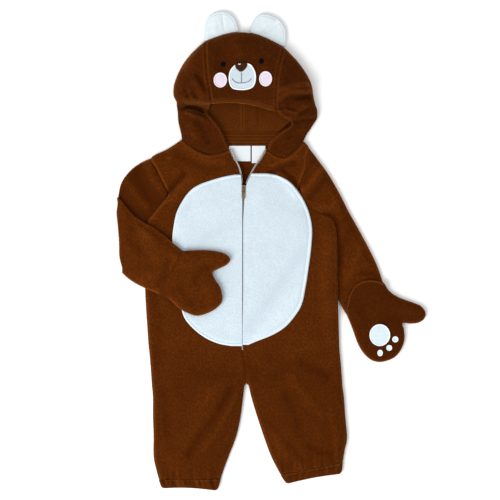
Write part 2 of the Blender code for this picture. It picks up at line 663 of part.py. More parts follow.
def sleeve_right(front_edge, drape):
    """Upper arm on the table, folded at the elbow, and the forearm over it and over the front."""
    upper = flat_tube(refined(SLEEVE_RIGHT_UPPER, 8), 16, start=front_edge)
    forearm = flat_tube(refined(SLEEVE_RIGHT_FOREARM, 10), 16, base=forearm_base(drape), turned=True)
    rings = np.concatenate([upper, fold_rings(upper[-1], forearm[0]), forearm])
    return tube_sheet("sleeve_right", rings)


def mitten_side(name, points, centre, count, rings, base, rise, up, wall=CLOTH, kind="brown_fleece"):
    """Back or palm of a mitten: a pillowed disc, its sewn edge level with its partner's."""
    outline, sewn = closed_outline(points, count)
    plan = rings_of(outline, centre, rings)
    away = distance(plan, *sewn_edges(outline, sewn, closed=True))
    height = rise * rounded(away / (ROUND * rise))
    middle = base(plan)
    outer = np.dstack([plan, middle + up * (GAP / 2 + height)])
    inner = outer - np.array([0, 0, up * wall])
    along = np.roll(outline, -1, axis=0) - np.roll(outline, 1, axis=0)
    inward = np.stack([-along[:, 1], along[:, 0]], 1) / np.linalg.norm(along, axis=1, keepdims=True)
    inward *= np.sign((inward * (np.array(centre) - outline)).sum(1).sum())
    rim = outer[-1].copy()
    rim[:, :2] += wall * inward
    inner[-1] = np.where(sewn[:, None], rim, inner[-1])
    # The inner side never passes the level at which back and palm meet.
    inner[..., 2] = up * np.maximum(up * inner[..., 2], up * middle + GAP / 2)
    return disc(name, outer, inner, kind)


def applique(name, outline, centre, beneath, thick, kind, rings=2, reach=2.0):
    """A flat shape sewn on a panel: its underside follows the panel."""
    plan = rings_of(outline, centre, rings, [0, 0.6, 1] if rings == 2 else None)
    under = heights_on(beneath, plan, reach) + GAP
    bulge = np.full(plan.shape[:2], thick)
    bulge[-1] *= 0.6
    return disc(name, np.dstack([plan, under + bulge]), np.dstack([plan, under]), kind)


def oval(x, y, half_width, half_height, count):
    turn = np.arange(count) * 2 * np.pi / count
    return np.stack([x + half_width * np.cos(turn), y + half_height * np.sin(turn)], 1)


def leg_casing(name, ends):
    """The gathered elastic casing at the end of a leg, as a short flat tube."""
    top_columns, bottom_columns = 4 * HEM_GATHERS + 1, 9
    c = np.concatenate([np.linspace(0, 1, top_columns), np.linspace(1, 0, bottom_columns)[1:-1]])
    upper = np.arange(len(c)) < top_columns
    start = np.array(ends, float)
    rings = []
    for t in np.linspace(0, 1, 3):
        a, b = start[0, 0] * (1 - t) + start[1, 0] * t, start[0, 1] * (1 - t) + start[1, 1] * t
        width = np.linalg.norm(b - a)
        near = np.minimum(c, 1 - c) * width
        body = HEM_HEIGHT * rounded(near / (ROUND * HEM_HEIGHT))
        gather = 0.8 * np.sin(2 * np.pi * HEM_GATHERS * c + 0.9 * np.sin(5 * c)) * smooth(near / 8) * upper
        puff = 1.6 * math.sin(math.pi * t) * smooth(near / 10) * upper
        z = HEM_HEIGHT + np.where(upper, 1, -1) * body + gather + puff
        plan = a + c[:, None] * (b - a)
        rings.append(np.column_stack([plan, z]))
    return tube_sheet(name, np.array(rings))


def hood_rim():
    """The outline of the hood in plan, right side, crown and left side."""
    right = refined([row[2:4] for row in HOOD_SIDE_RIGHT], 25)[::-1]
    left = refined([row[2:4] for row in HOOD_SIDE_LEFT], 25)
    crown = strip_plan(np.array(HOOD_CENTRE[CROWN:CROWN + 1], float), 9)[0]
    return np.concatenate([right, crown, left])


def strip_plan(rows, columns):
    across = shares(columns)[None, :, None]
    plan = rows[:, None, 0:2] * (1 - across) + rows[:, None, 2:4] * across
    plan[..., 1] += rows[:, 4, None] * np.sin(np.pi * across[..., 0])
    return plan


def hood_top(plan, rim):
    """Height of the hood's upper cloth: a soft pillow inside its rim."""
    away = distance(plan, rim[:-1], rim[1:])
    full = np.interp(plan[..., 1], *zip(*HOOD_HEIGHT))
    reach = np.minimum(HOOD_ROUND, 1.6 * full)
    return HOOD_EDGE + (full - HOOD_EDGE) * rounded(away / reach)


def hood_centre(rim):
    plan = strip_plan(refined(HOOD_CENTRE, 2 * len(HOOD_CENTRE) - 1), 8)
    z = hood_top(plan, rim)
    z[2 * CROWN] = HOOD_EDGE
    z[2 * CROWN + 1] = HOOD_EDGE / 4
    z[2 * CROWN + 2:] = 0
    grid = np.dstack([plan, z])
    found = normals(grid)
    if found[0, 3, 2] < 0:
        found = -found
    return sheet("hood_centre", grid, grid - CLOTH * found, "brown_fleece")


def given_heights(rows, count):
    """The heights that a table gives for some rows, read between them, and how far they hold."""
    at = np.linspace(0, len(rows) - 1, count)
    holds = np.interp(at, np.arange(len(rows)), [row[-1] is not None for row in rows])[:, None]
    heights = np.interp(at, np.arange(len(rows)), [row[-1] or 0 for row in rows])[:, None]
    return holds, heights / np.maximum(holds, 1e-6)


def hood_side(name, rows, rim, neck, across=8, under=4):
    """A side of the hood: from the front seam or opening, over the rim, and back under to the back seam."""
    count = 2 * len(rows) - 1
    fine = refined([row[:6] for row in rows], count)
    share = np.sin(np.linspace(0, 1, across) * np.pi / 2)[None, :, None]
    top = fine[:, None, 0:2] * (1 - share) + fine[:, None, 2:4] * share
    top[-1] = neck
    away = distance(top, rim[:-1], rim[1:])
    holds, height = given_heights(rows, count)
    folded = HOOD_EDGE + (height - HOOD_EDGE) * rounded(away / 16)
    z = hood_top(top, rim) * (1 - holds) + folded * holds
    z[:, -1] = HOOD_EDGE
    z[-1] = np.minimum(z[-1], HOOD_EDGE + (NECK_HEIGHT - HOOD_EDGE) * rounded(away[-1] / 14))
    back_share = (1 - np.cos(np.linspace(0, 1, under) * np.pi / 2))[1:][None, :, None]
    below = fine[:, None, 2:4] * (1 - back_share) + fine[:, None, 4:6] * back_share
    gone = np.linalg.norm(below - fine[:, None, 2:4], axis=-1)
    lower = HOOD_EDGE * (1 - rounded(gone / 8))
    grid = np.concatenate([np.dstack([top, z]), np.dstack([below, lower])], axis=1)
    found = normals(grid)
    if found[4, 2, 2] < 0:
        found = -found
    found[:, across - 1, 2] = 0
    found[:, across - 1] /= np.linalg.norm(found[:, across - 1], axis=-1, keepdims=True)
    sheet(name, grid, grid - CLOTH * found, "brown_fleece")


def lining_half(name, side, columns=5):
    """Cloth on the inside of the hood's back: flat in the middle, and rising a little towards the opening."""
    fine = refined(LINING, 2 * len(LINING) + 1)
    middle = CENTRE_BACK + side * GAP / 2
    outer_x = np.where(side < 0, fine[:, 1], 2 * CENTRE_BACK - fine[:, 1] + fine[:, 2])
    share = np.linspace(0, 1, columns)
    plan = np.dstack([
        middle * (1 - share) + outer_x[:, None] * share,
        np.repeat(fine[:, :1], columns, axis=1),
    ])
    z = CLOTH + GAP + 2.5 * share**3
    under = np.dstack([plan, np.repeat(z[None], len(fine), axis=0)])
    thickened(name, under, LINING_THICK, "brown_lining")


def thickened(name, under, thick, kind):
    """A sheet of even thickness on its underside's points."""
    return sheet(name, under + np.array([0, 0, thick]), under, kind)


def neck_band(columns=7):
    """The band that covers the seam between the hood and the back's neck."""
    fine = refined(BAND, 4)
    share = np.linspace(0, 1, columns)
    left_x = 2 * CENTRE_BACK - fine[:, 1] + fine[:, 2]
    plan = np.dstack([
        fine[:, 1, None] * (1 - share) + left_x[:, None] * share,
        np.repeat(fine[:, :1], columns, axis=1),
    ])
    under = np.dstack([plan, np.full(plan.shape[:2], CLOTH + GAP)])
    thickened("neck_band", under, BAND_THICK, "brown_lining")


def ear(side, points, centre):
    for part, up in (("front", 1), ("back", -1)):
        rise = EAR_RISE if up > 0 else SEAM - GAP / 2
        mitten_side(f"ear_{side}_{part}", points, centre, 20, 3, on_table, rise, up, kind="white_fleece")


def zip_row(name, front, side):
    """One open row of the zip, along the front's free edge above the slider."""
    edge = front[:, -1]
    edge = edge[edge[:, 1] > SLIDER_XY[1] + 6]
    along = np.gradient(edge[:, :2], axis=0)
    along /= np.linalg.norm(along, axis=1, keepdims=True)
    away = np.stack([-along[:, 1], along[:, 0]], 1) * side
    offsets = 0.35 + ROW_WIDTH * np.array([0, 0.5, 1])
    plan = edge[:, None, :2] + offsets[None, :, None] * away[:, None]
    z = np.repeat(edge[:, 2:3] - GAP - ROW_THICK, 3, axis=1)
    thickened(name, np.dstack([plan, z]), ROW_THICK, "zip_bronze")


def zip_chain():
    points = refined(CHAIN, 15)
    offsets = np.array([-CHAIN_WIDTH / 2, 0, CHAIN_WIDTH / 2])
    plan = np.dstack([points[:, :1] + offsets, np.repeat(points[:, 1:], 3, axis=1)])
    under = np.dstack([plan, np.full(plan.shape[:2], CHAIN_TOP - CHAIN_THICK)])
    thickened("zip_chain", under, CHAIN_THICK, "zip_bronze")


def box(name, centre, size, kind, bevel=0.0, helper=False):
    bm = bmesh.new()
    bmesh.ops.create_cube(bm, size=1)
    for vert in bm.verts:
        vert.co = Vector([(c + v * s) * MM for c, v, s in zip(centre, vert.co, size)])
    if bevel:
        bmesh.ops.bevel(bm, geom=bm.edges[:], offset=bevel * MM, segments=2, affect="EDGES", profile=0.5)
    made = finish_mesh(name, bm, kind)
    for face in made.data.polygons:
        face.use_smooth = False
    if helper:
        hide(made)
    return made


def hide(made):
    bpy.data.collections["bear_romper"].objects.unlink(made)
    bpy.data.collections["helpers"].objects.link(made)
    made.hide_render = True
    made.display_type = "WIRE"


def wire_loop(name, x, y, z, radius, wire, foot):
    """The slider's loop: a half ring of wire with straight feet, as a mesh."""
    turns = np.linspace(0, math.pi, 13)
    points = [(x, y + radius, z - foot)] + [
        (x, y + radius * math.cos(t), z + radius * math.sin(t)) for t in turns
    ] + [(x, y - radius, z - foot)]
    curve = bpy.data.curves.new(name, "CURVE")
    curve.dimensions = "3D"
    curve.bevel_depth = wire * MM
    curve.bevel_resolution = 2
    curve.use_fill_caps = True
    spline = curve.splines.new("POLY")
    spline.points.add(len(points) - 1)
    for place, point in zip(spline.points, points):
        place.co = (*(value * MM for value in point), 1)
    made = bpy.data.objects.new(name, curve)
    bpy.data.collections["bear_romper"].objects.link(made)
    mesh = bpy.data.meshes.new_from_object(made)
    bpy.data.objects.remove(made)
    solid = placed(name, mesh, "zip_bronze")
    bm = bmesh.new()
    bm.from_mesh(mesh)
    bmesh.ops.remove_doubles(bm, verts=bm.verts, dist=1e-6)
    bmesh.ops.recalc_face_normals(bm, faces=bm.faces)
    bm.to_mesh(mesh)
    bm.free()
    hide(solid)
    return solid


def join(target, others):
    for other in others:
        union = target.modifiers.new(other.name, "BOOLEAN")
        union.operation = "UNION"
        union.solver = "EXACT"
        union.object = other


def zip_slider():
    """The slider: plates above and below the chain, a post between them, and a wire loop for the tab."""
    x, y = SLIDER_XY
    wide, long = SLIDER_SIZE
    low = CHAIN_TOP - CHAIN_THICK - 0.4 - PLATE
    top = box("zip_slider", (x, y, TOP_PLATE_Z + PLATE / 2), (wide, long, PLATE), "zip_bronze", bevel=0.35)
    under = box("slider_under", (x, y, low + PLATE / 2), (wide, long, PLATE), "zip_bronze", 0.3, helper=True)
    post_z = (low + TOP_PLATE_Z + PLATE) / 2
    post = box("slider_post", (x, y + 3.4, post_z), (2.6, 3.2, TOP_PLATE_Z - low), "zip_bronze", helper=True)
    axis_z = TOP_PLATE_Z + PLATE + HINGE_ABOVE
    loop = wire_loop("slider_loop", x, HINGE_Y, axis_z, LOOP_RADIUS, LOOP_WIRE, HINGE_ABOVE + 0.5)
    join(top, [under, post, loop])
    return axis_z


def zip_pull(axis_z):
    """The pull tab, threaded on the slider's loop. Its origin is on the hinge axis."""
    curve = bpy.data.curves.new("zip_pull", "CURVE")
    curve.dimensions = "2D"
    curve.fill_mode = "BOTH"
    curve.extrude = TAB_THICK / 2 * MM
    outline = [(-2.6, 0.6), (2.6, 0.6), (2.9, -3.0), (2.5, -6.0), (2.7, -10.0), (3.0, -13.0)]
    tip = [(3.0 * math.cos(t), -13.0 - 2.6 * math.sin(t)) for t in np.linspace(0, math.pi, 9)[1:-1]]
    outline += tip + [(-x, y) for x, y in outline[:1:-1]]
    slot = [(-1.4, -0.65), (-1.4, -3.9), (1.4, -3.9), (1.4, -0.65)]
    for points in (outline, slot):
        spline = curve.splines.new("POLY")
        spline.points.add(len(points) - 1)
        for place, point in zip(spline.points, points):
            place.co = (point[0] * MM, point[1] * MM, 0, 1)
        spline.use_cyclic_u = True
    made = bpy.data.objects.new("zip_pull", curve)
    made.location = (SLIDER_XY[0] * MM, HINGE_Y * MM, axis_z * MM)
    bpy.data.collections["bear_romper"].objects.link(made)
    curve.materials.append(finish("zip_bronze"))


def face(centre_strip):
    beneath = surface_of([centre_strip])
    muzzle, _ = closed_outline(MUZZLE, 24)
    white = applique("muzzle", muzzle, MUZZLE_CENTRE, beneath, 1.6, "white_fleece", rings=3)
    for name, (x, y, wide, high) in EYES.items():
        applique(name, oval(x, y, wide, high, 12), (x, y), beneath, 1.0, "black_thread")
    for name, (x, y, wide, high) in CHEEKS.items():
        applique(name, oval(x, y, wide, high, 18), (x, y), beneath, 1.2, "pink_satin")
    nose, _ = closed_outline(NOSE, 18)
    applique("nose", nose, NOSE_CENTRE, surface_of([centre_strip, white]), 1.0, "nose_satin")


def labels():
    for name, (left, right, low, high) in LABELS.items():
        plan = np.dstack(np.meshgrid(np.linspace(left, right, 5), np.linspace(high, low, 6)))
        under = np.dstack([plan, np.full(plan.shape[:2], CLOTH + GAP)])
        thickened(name, under, LABEL_THICK, "label_satin")


def neck_row(grid, across, up):
    """Points of a front's neck edge, from its zip side to its shoulder side, moved up to the hood."""
    row = grid[0, ::-1, :2]
    share = np.sin(np.linspace(0, 1, across) * np.pi / 2)
    at = np.linspace(0, 1, len(row))
    own = 1 - shares(len(row))[::-1]
    return np.stack([np.interp(share, own, row[:, k]) for k in (0, 1)], 1) + np.array([0, up])


def armhole(grid, last, outward):
    """A front's outer edge from the shoulder point down, moved out from the panel."""
    edge = grid[:, 0, :2] + ARM_GAP * side_normals(grid[:, 0], outward)[:, :2]
    return edge[last[0]:last[1]]


def mittens(base):
    """Both mittens: the right one on the body with its back up, the left one on the table with its palm up."""
    mitten_side("mitten_right_back", MITTEN_RIGHT, MITTEN_RIGHT_CENTRE, 38, 4, base, BACK_RISE, 1)
    mitten_side("mitten_right_palm", MITTEN_RIGHT, MITTEN_RIGHT_CENTRE, 38, 3, base, FLAT - GAP / 2, -1)
    palm_outline = MITTEN_LEFT_ROUND + PALM_ARC
    palm = mitten_side("mitten_left_palm", palm_outline, MITTEN_LEFT_CENTRE, 46, 4, on_table, PALM_RISE, 1)
    back_outline = MITTEN_LEFT_ROUND + WRIST_LINE
    mitten_side("mitten_left_back", back_outline, MITTEN_LEFT_CENTRE, 44, 3, on_table, SEAM - GAP / 2, -1)
    return surface_of([palm])


def paw_print(on_palm):
    x, y, wide, high = PAW_PAD
    applique("paw_pad", oval(x, y, wide, high, 20), (x, y), on_palm, 1.2, "white_fleece", rings=3)
    for number, (x, y, wide, high) in enumerate(PAW_TOES, 1):
        applique(f"paw_toe_{number}", oval(x, y, wide, high, 12), (x, y), on_palm, 1.2, "white_fleece")


def hood(right_grid, left_grid):
    rim = hood_rim()
    centre_strip = hood_centre(rim)
    hood_side("hood_side_right", HOOD_SIDE_RIGHT, rim, neck_row(right_grid, 8, 0.6))
    hood_side("hood_side_left", HOOD_SIDE_LEFT, rim, neck_row(left_grid, 8, 0.6))
    face(centre_strip)
    ear("right", EAR_RIGHT, EAR_CENTRES["right"])
    ear("left", EAR_LEFT, EAR_CENTRES["left"])
    lining_half("hood_lining_right", -1)
    lining_half("hood_lining_left", 1)
    neck_band()
    labels()


def zip_fastener(right_grid, left_grid):
    zip_chain()
    zip_row("zip_row_right", right_grid, 1)
    zip_row("zip_row_left", left_grid, -1)
    zip_pull(zip_slider())


def build():
    for made in list(bpy.data.objects):
        bpy.data.objects.remove(made)
    for name in ("bear_romper", "helpers"):
        bpy.context.scene.collection.children.link(bpy.data.collections.new(name))

    right_grid, front_right = front_panel("front_right", FRONT_RIGHT)
    left_grid, front_left = front_panel("front_left", FRONT_LEFT)
    back_panel("back_right", FRONT_RIGHT)
    back_panel("back_left", FRONT_LEFT)
    belly_right = belly_half("belly_right", BELLY_RIGHT, front_right, right_grid[:, -1], -1)
    belly_half("belly_left", BELLY_LEFT, front_left, left_grid[:, -1], 1)
    leg_casing("hem_right", HEM_RIGHT)
    leg_casing("hem_left", HEM_LEFT)

    sleeve_left(armhole(left_grid, (2, 13), 1))
    drape = Drape([front_right, belly_right], (-262, -130), (-50, 120))
    sleeve_right(armhole(right_grid, (4, 19), -1), drape)
    paw_print(mittens(forearm_base(drape)))

    hood(right_grid, left_grid)
    zip_fastener(right_grid, left_grid)


build()
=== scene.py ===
import math

import bmesh
import bpy
import numpy as np
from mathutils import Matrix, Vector, noise
from mathutils.bvhtree import BVHTree


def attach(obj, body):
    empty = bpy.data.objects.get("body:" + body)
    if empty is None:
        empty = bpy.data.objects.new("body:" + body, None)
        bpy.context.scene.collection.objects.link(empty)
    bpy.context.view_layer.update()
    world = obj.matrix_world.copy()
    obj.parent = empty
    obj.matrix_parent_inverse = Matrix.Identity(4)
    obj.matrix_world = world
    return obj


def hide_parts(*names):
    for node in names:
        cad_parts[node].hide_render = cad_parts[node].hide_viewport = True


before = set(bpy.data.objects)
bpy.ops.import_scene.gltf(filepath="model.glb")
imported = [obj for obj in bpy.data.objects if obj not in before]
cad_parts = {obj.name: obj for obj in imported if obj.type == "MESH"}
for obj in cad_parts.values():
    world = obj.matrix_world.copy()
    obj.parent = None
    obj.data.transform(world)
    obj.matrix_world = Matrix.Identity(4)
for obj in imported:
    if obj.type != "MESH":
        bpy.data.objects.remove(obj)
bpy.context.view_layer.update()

# The garment lies on a pale table and is seen from straight above, by a long lens in soft studio light. Sizes here
# are in metres. X runs to the wearer's left and Y to the hood.

bpy.context.scene.world = bpy.data.worlds.new("studio")
bpy.context.scene.world.use_nodes = True
room = bpy.context.scene.world.node_tree.nodes["Background"]
room.inputs["Color"].default_value = (1.0, 1.0, 1.0, 1)
room.inputs["Strength"].default_value = 0.74
bpy.context.scene.view_settings.view_transform = "Standard"


def placed(name, data):
    made = bpy.data.objects.new(name, data)
    bpy.context.scene.collection.objects.link(made)
    return made


def new_finish(name):
    """A material made of nodes, and its shader."""
    finish = bpy.data.materials.new(name)
    finish.use_nodes = True
    return finish, finish.node_tree.nodes["Principled BSDF"]


camera = placed("camera", bpy.data.cameras.new("camera"))
camera.location = (-0.0355, 0.0012, 2.61)
camera.data.lens = 113.5
camera.data.sensor_width = 36
bpy.context.scene.camera = camera


def softbox(name, place, size, power):
    """A round soft light turned to the middle of the garment."""
    light = placed(name, bpy.data.lights.new(name, "AREA"))
    light.data.shape = "DISK"
    light.data.size = size
    light.data.energy = power
    light.location = place
    light.rotation_euler = (-Vector(place)).to_track_quat("-Z", "Y").to_euler()


softbox("key", (-1.30, -1.10, 1.55), 1.7, 52)
softbox("fill", (0.9, 1.0, 2.2), 1.6, 6)

bm = bmesh.new()
bmesh.ops.create_grid(bm, x_segments=1, y_segments=1, size=3.0)
table_mesh = bpy.data.meshes.new("table")
bm.to_mesh(table_mesh)
bm.free()
table_top = placed("table", table_mesh)
table_top.location.z = -0.0005  # the table and the cloth on it never share a surface
paper, shader = new_finish("pale_table")
shader.inputs["Base Color"].default_value = (0.93, 0.93, 0.93, 1)
shader.inputs["Roughness"].default_value = 0.9
table_mesh.materials.append(paper)

# Brown fleece of the fronts, backs, sleeves, mittens and hood: a brushed polyester knit with a short dense nap that
# lies in small tufts. Its sheen makes it brightest where the nap turns away from the eye, as on every rolled edge; on
# top of that its colour carries painted light, lighter on rolled edges, seam ridges and fold ridges and darker in
# troughs.


def nodes_of(finish):
    return finish.node_tree.nodes, finish.node_tree.links


def noise_of(finish, place, scale, detail, stretch=(1, 1, 1)):
    """A noise in the piece's own coordinates, in metres."""
    nodes, links = nodes_of(finish)
    mapping = nodes.new("ShaderNodeMapping")
    mapping.inputs["Scale"].default_value = stretch
    made = nodes.new("ShaderNodeTexNoise")
    made.inputs["Scale"].default_value = scale
    made.inputs["Detail"].default_value = detail
    links.new(place, mapping.inputs["Vector"])
    links.new(mapping.outputs["Vector"], made.inputs["Vector"])
    return made.outputs["Fac"]


def ramp_of(finish, value, stops):
    nodes, links = nodes_of(finish)
    made = nodes.new("ShaderNodeValToRGB")
    made.color_ramp.elements[0].position = stops[0][0]
    made.color_ramp.elements[0].color = (*stops[0][1], 1)
    made.color_ramp.elements[1].position = stops[-1][0]
    made.color_ramp.elements[1].color = (*stops[-1][1], 1)
    for place, colour in stops[1:-1]:
        made.color_ramp.elements.new(place).color = (*colour, 1)
    links.new(value, made.inputs["Fac"])
    return made.outputs["Color"]


def arithmetic(finish, kind, first, second):
    nodes, links = nodes_of(finish)
    made = nodes.new("ShaderNodeMath")
    made.operation = kind
    for socket, value in zip(made.inputs, (first, second)):
        if isinstance(value, (int, float)):
            socket.default_value = value
        else:
            links.new(value, socket)
    return made.outputs[0]


def total_of(finish, *parts):
    """The sum of some values, each taken by its share."""
    taken = [arithmetic(finish, "MULTIPLY", value, share) for value, share in parts]
    total = taken[0]
    for more in taken[1:]:
        total = arithmetic(finish, "ADD", total, more)
    return total


def bumped(finish, height, strength, depth):
    nodes, links = nodes_of(finish)
    made = nodes.new("ShaderNodeBump")
    made.inputs["Strength"].default_value = strength
    made.inputs["Distance"].default_value = depth
    links.new(height, made.inputs["Height"])
    links.new(made.outputs["Normal"], nodes["Principled BSDF"].inputs["Normal"])


def fleece(name, dark, middle, light, tint, sheen=0.8, tufts=330.0, depth=0.0011):
    """Napped cloth: blotches where the nap is brushed over, tufts of a few millimetres, and fine fibre ends, with
    painted highlights and painted shade taken from each piece's weave attribute.
    """
    finish, shader = new_finish(name)
    nodes, links = nodes_of(finish)
    place = nodes.new("ShaderNodeTexCoord").outputs["Object"]
    blotches = noise_of(finish, place, 34.0, 3.0)
    tuft = noise_of(finish, place, tufts, 2.5)
    fibres = noise_of(finish, place, 1400.0, 2.0)
    weave_and_painted_light = nodes.new("ShaderNodeAttribute")
    weave_and_painted_light.attribute_name = "weave_and_painted_light"
    split = nodes.new("ShaderNodeSeparateXYZ")
    links.new(weave_and_painted_light.outputs["Vector"], split.inputs["Vector"])
    # The third value of each piece's weave attribute is painted light: it paints the colour lighter for highlights
    # and darker for shade.
    body = total_of(finish, (blotches, 0.16), (tuft, 0.5), (fibres, 0.34), (split.outputs["Z"], 0.3))
    links.new(ramp_of(finish, body, [(0.34, dark), (0.5, middle), (0.68, light)]), shader.inputs["Base Color"])
    links.new(arithmetic(finish, "SUBTRACT", 1.02, arithmetic(finish, "MULTIPLY", tuft, 0.16)),
              shader.inputs["Roughness"])
    shader.inputs["Specular IOR Level"].default_value = 0.02
    shader.inputs["Sheen Weight"].default_value = sheen
    shader.inputs["Sheen Roughness"].default_value = 0.36
    shader.inputs["Sheen Tint"].default_value = (*tint, 1)
    bumped(finish, total_of(finish, (tuft, 1.0), (fibres, 0.5)), 0.8, depth)
    return finish


brown_fleece = fleece("brown_fleece", (0.046, 0.0093, 0.0007), (0.066, 0.0140, 0.0011), (0.112, 0.0260, 0.0026),
                      (0.60, 0.20, 0.04))

# Fronts, right and left: each is one piece from the neck down through its leg, sewn to its back at the side and
# the inside leg, to its sleeve at the armhole and to the zip's tape. Sides are the wearer's. Lengths from here on
# are in millimetres, until a mesh is made.

MM = 0.001
CLOTH = 2.2
GAP = 0.3
SEAM = 3.4  # height at which front and back meet
SWELL = 2.5
CREASE = 1.9  # how deep the creases lie, against the heights in the tables
ROUND = 1.2  # how wide a rolled edge is, against its height
TUCK = 7.1  # height of the sleeve that lies under the body's left side
TUCK_X, TUCK_TOP, TUCK_FOOT = 76, 76, -120  # where that sleeve lies
ZIP_FOOT = -162
LEG_TOP = -150
BACK_NECK = 174.7
SEAM_WIDE = 1.6
SWELL_IN, SAG_IN = 45, 30  # how far in from the seams the swell is full, and how far from the zip the cloth sinks
GATHER_UP = 20  # how far up the leg the hem's gathers reach
# Each row: the outer edge, the inner edge, the x of the back's inner edge, how far the row dips in plan, how high
# its edge rises, how far it sinks beside the zip, and 1 where each edge is sewn to the back.
FRONT_COLUMNS = ("out_x", "out_y", "in_x", "in_y", "back_x", "dip", "rise", "sag", "sewn_out", "sewn_in")
FRONT_RIGHT = [
    (-148, 184, -70, 167, -47.7, 16, 6.0, 3.5, 1, 0),
    (-172, 168, -64, 153, -47.7, 8, 6.5, 3.0, 1, 0),
    (-199, 153, -56, 138, -47.7, 3, 6.5, 2.0, 1, 0),
    (-189, 130, -52, 122, -47.7, 0, 6.5, 0.5, 0, 0),
    (-179, 110, -51, 107, -47.7, 0, 6.5, 0, 0, 0),
    (-172, 94, -51, 97, -47.7, 0, 6.5, 0, 0, 0),
    (-179, 82, -50, 84, -47.7, 0, 6.5, 0, 0, 0),
    (-191, 67, -50, 67, -47.7, 0, 6.5, 0, 0, 0),
    (-205, 47, -50, 47, -47.7, 0, 6.5, 0, 1, 0),
    (-208, 9, -50, 9, -47.7, 0, 6.5, 0, 1, 0),
    (-209, -61, -50, -61, -47.7, 0, 6.5, 0, 1, 0),
    (-205, -131, -50.3, -131, -47.7, 0, 6.5, 0, 1, 0),
    (-203, -159, -50.1, -157, -47.7, 0, 6.5, 0, 1, 0),
    (-202, -167, -48.08, -165, -47.87, 0, 6.5, 0, 1, 0),
    (-200, -190, -44.08, -190, -44.22, 0, 6.5, 0, 1, 0),
    (-198, -218, -41.35, -218, -41.35, 0, 6.5, 0, 1, 1),
    (-197.5, -225, -44.6, -223, -44.6, 0, 6.5, 0, 1, 1),
    (-196, -243, -47, -243, -47, 0, 6.5, 0, 1, 1),
    (-196, -274, -51, -274, -51, 0, 6.5, 0, 1, 1),
    (-195, -306, -58, -306, -58, 0, 6.5, 0, 1, 1),
    (-195, -339, -70, -338, -70, 0, 6.5, 0, 1, 1),
    (-191, -360, -78, -359, -78, 0, 5.5, 0, 1, 1),
    (-186, -378, -84, -377, -84, 0, 4.5, 0, 1, 1),
]
FRONT_LEFT = [
    (53, 181, -7, 167, -47.3, 20, 6.0, 3.5, 1, 0),
    (62, 170, -16, 152, -47.3, 10, 6.5, 3.0, 1, 0),
    (59, 155, -26, 137, -47.3, 3, 6.5, 2.0, 0, 0),
    (57, 135, -35, 120, -47.3, 0, 6.5, 0.5, 0, 0),
    (50, 118, -40, 107, -47.3, 0, 6.5, 0, 0, 0),
    (47, 104, -41, 97, -47.3, 0, 6.5, 0, 0, 0),
    (52, 87, -43, 84, -47.3, 0, 6.5, 0, 0, 0),
    (60, 74, -44, 67, -47.3, 0, 6.5, 0, 1, 0),
    (82, 62, -45, 47, -47.3, 0, 6.5, 0, 1, 0),
    (102, 48, -45, 18, -47.3, 0, 6.5, 0, 1, 0),
    (108, 14, -45, -9, -47.3, 0, 6.5, 0, 1, 0),
    (109, -65, -45, -65, -47.3, 0, 6.5, 0, 1, 0),
    (111, -118, -46, -123, -47.3, 0, 6.5, 0, 1, 0),
    (112, -152, -46.2, -157, -47.3, 0, 6.5, 0, 1, 0),
    (112.5, -163, -48.02, -165, -47.53, 0, 6.5, 0, 1, 0),
    (115, -190, -44.02, -190, -43.88, 0, 6.5, 0, 1, 0),
    (117, -217, -41.2, -218, -41.2, 0, 6.5, 0, 1, 1),
    (117.5, -225, -37.8, -223, -37.8, 0, 6.5, 0, 1, 1),
    (120, -243, -33, -243, -33, 0, 6.5, 0, 1, 1),
    (122, -273, -24, -273, -24, 0, 6.5, 0, 1, 1),
    (125, -309, -12, -309, -12, 0, 6.5, 0, 1, 1),
    (121, -330, 0, -341, 0, 0, 5.5, 0, 1, 1),
    (118, -349, 15, -370, 15, 0, 4.5, 0, 1, 1),
]

# The creases of the fronts: each has a width, a height (below 0 for a trough) and the line it follows.
FRONT_CREASES = [
    (5.5, -1.9, [(-66, -228), (-88, -268), (-121, -312), (-135, -336)]),
    (6, 1.1, [(-56, -236), (-77, -278), (-110, -326)]),
    (10, 0.6, [(-98, -232), (-128, -290), (-150, -330)]),
    (7, -0.8, [(-176, -230), (-170, -300)]),
    (7, 1.0, [(34, -206), (60, -246), (86, -270)]),
    (8, -1.4, [(54, -184), (92, -203)]),
    (8, -1.2, [(26, -236), (42, -272), (48, -300)]),
    (6, 1.0, [(98, -262), (107, -300), (106, -330)]),
    (6, -1.3, [(62, -320), (80, -331), (100, -332)]),
    (5, -1.0, [(30, -318), (52, -344)]),
    (6, 0.9, [(2, -300), (26, -340)]),
    (4.5, -2.6, [(-143, 126), (-160, 108), (-174, 90)]),
    (6, 1.5, [(-136, 122), (-152, 104), (-166, 84)]),
    (5, -2.2, [(21, 132), (34, 120), (47, 102)]),
    (6, 1.4, [(14, 126), (28, 113), (40, 95)]),
    (5, -1.8, [(0, 130), (16, 139), (38, 146)]),
    (5, 1.3, [(2, 141), (24, 149), (49, 158)]),
    (6, -1.0, [(-150, 160), (-118, 140), (-86, 136)]),
    (7, 0.8, [(-140, 168), (-104, 150), (-76, 148)]),
    (8, -0.7, [(-62, -200), (-92, -206), (-128, -196)]),
    (8, -0.8, [(-30, -196), (0, -204), (28, -196)]),
    (10, -0.7, [(-190, -60), (-184, -130), (-190, -190)]),
    (10, 0.6, [(96, 20), (94, -60), (98, -140)]),
]


def columns_of(rows):
    return dict(zip(FRONT_COLUMNS, np.array(rows, float).T))


def refined(values, count):
    """Rows read along a smooth curve through the rows given."""
    values = np.asarray(values, float)
    at = np.linspace(0, len(values) - 1, count)
    i = np.minimum(at.astype(int), len(values) - 2)
    t = (at - i).reshape((-1,) + (1,) * (values.ndim - 1))
    before, start, end = values[np.maximum(i - 1, 0)], values[i], values[i + 1]
    after = values[np.minimum(i + 2, len(values) - 1)]
    bend = 2 * before - 5 * start + 4 * end - after
    twist = 3 * start - before - 3 * end + after
    return start + 0.5 * ((end - before) * t + bend * t**2 + twist * t**3)


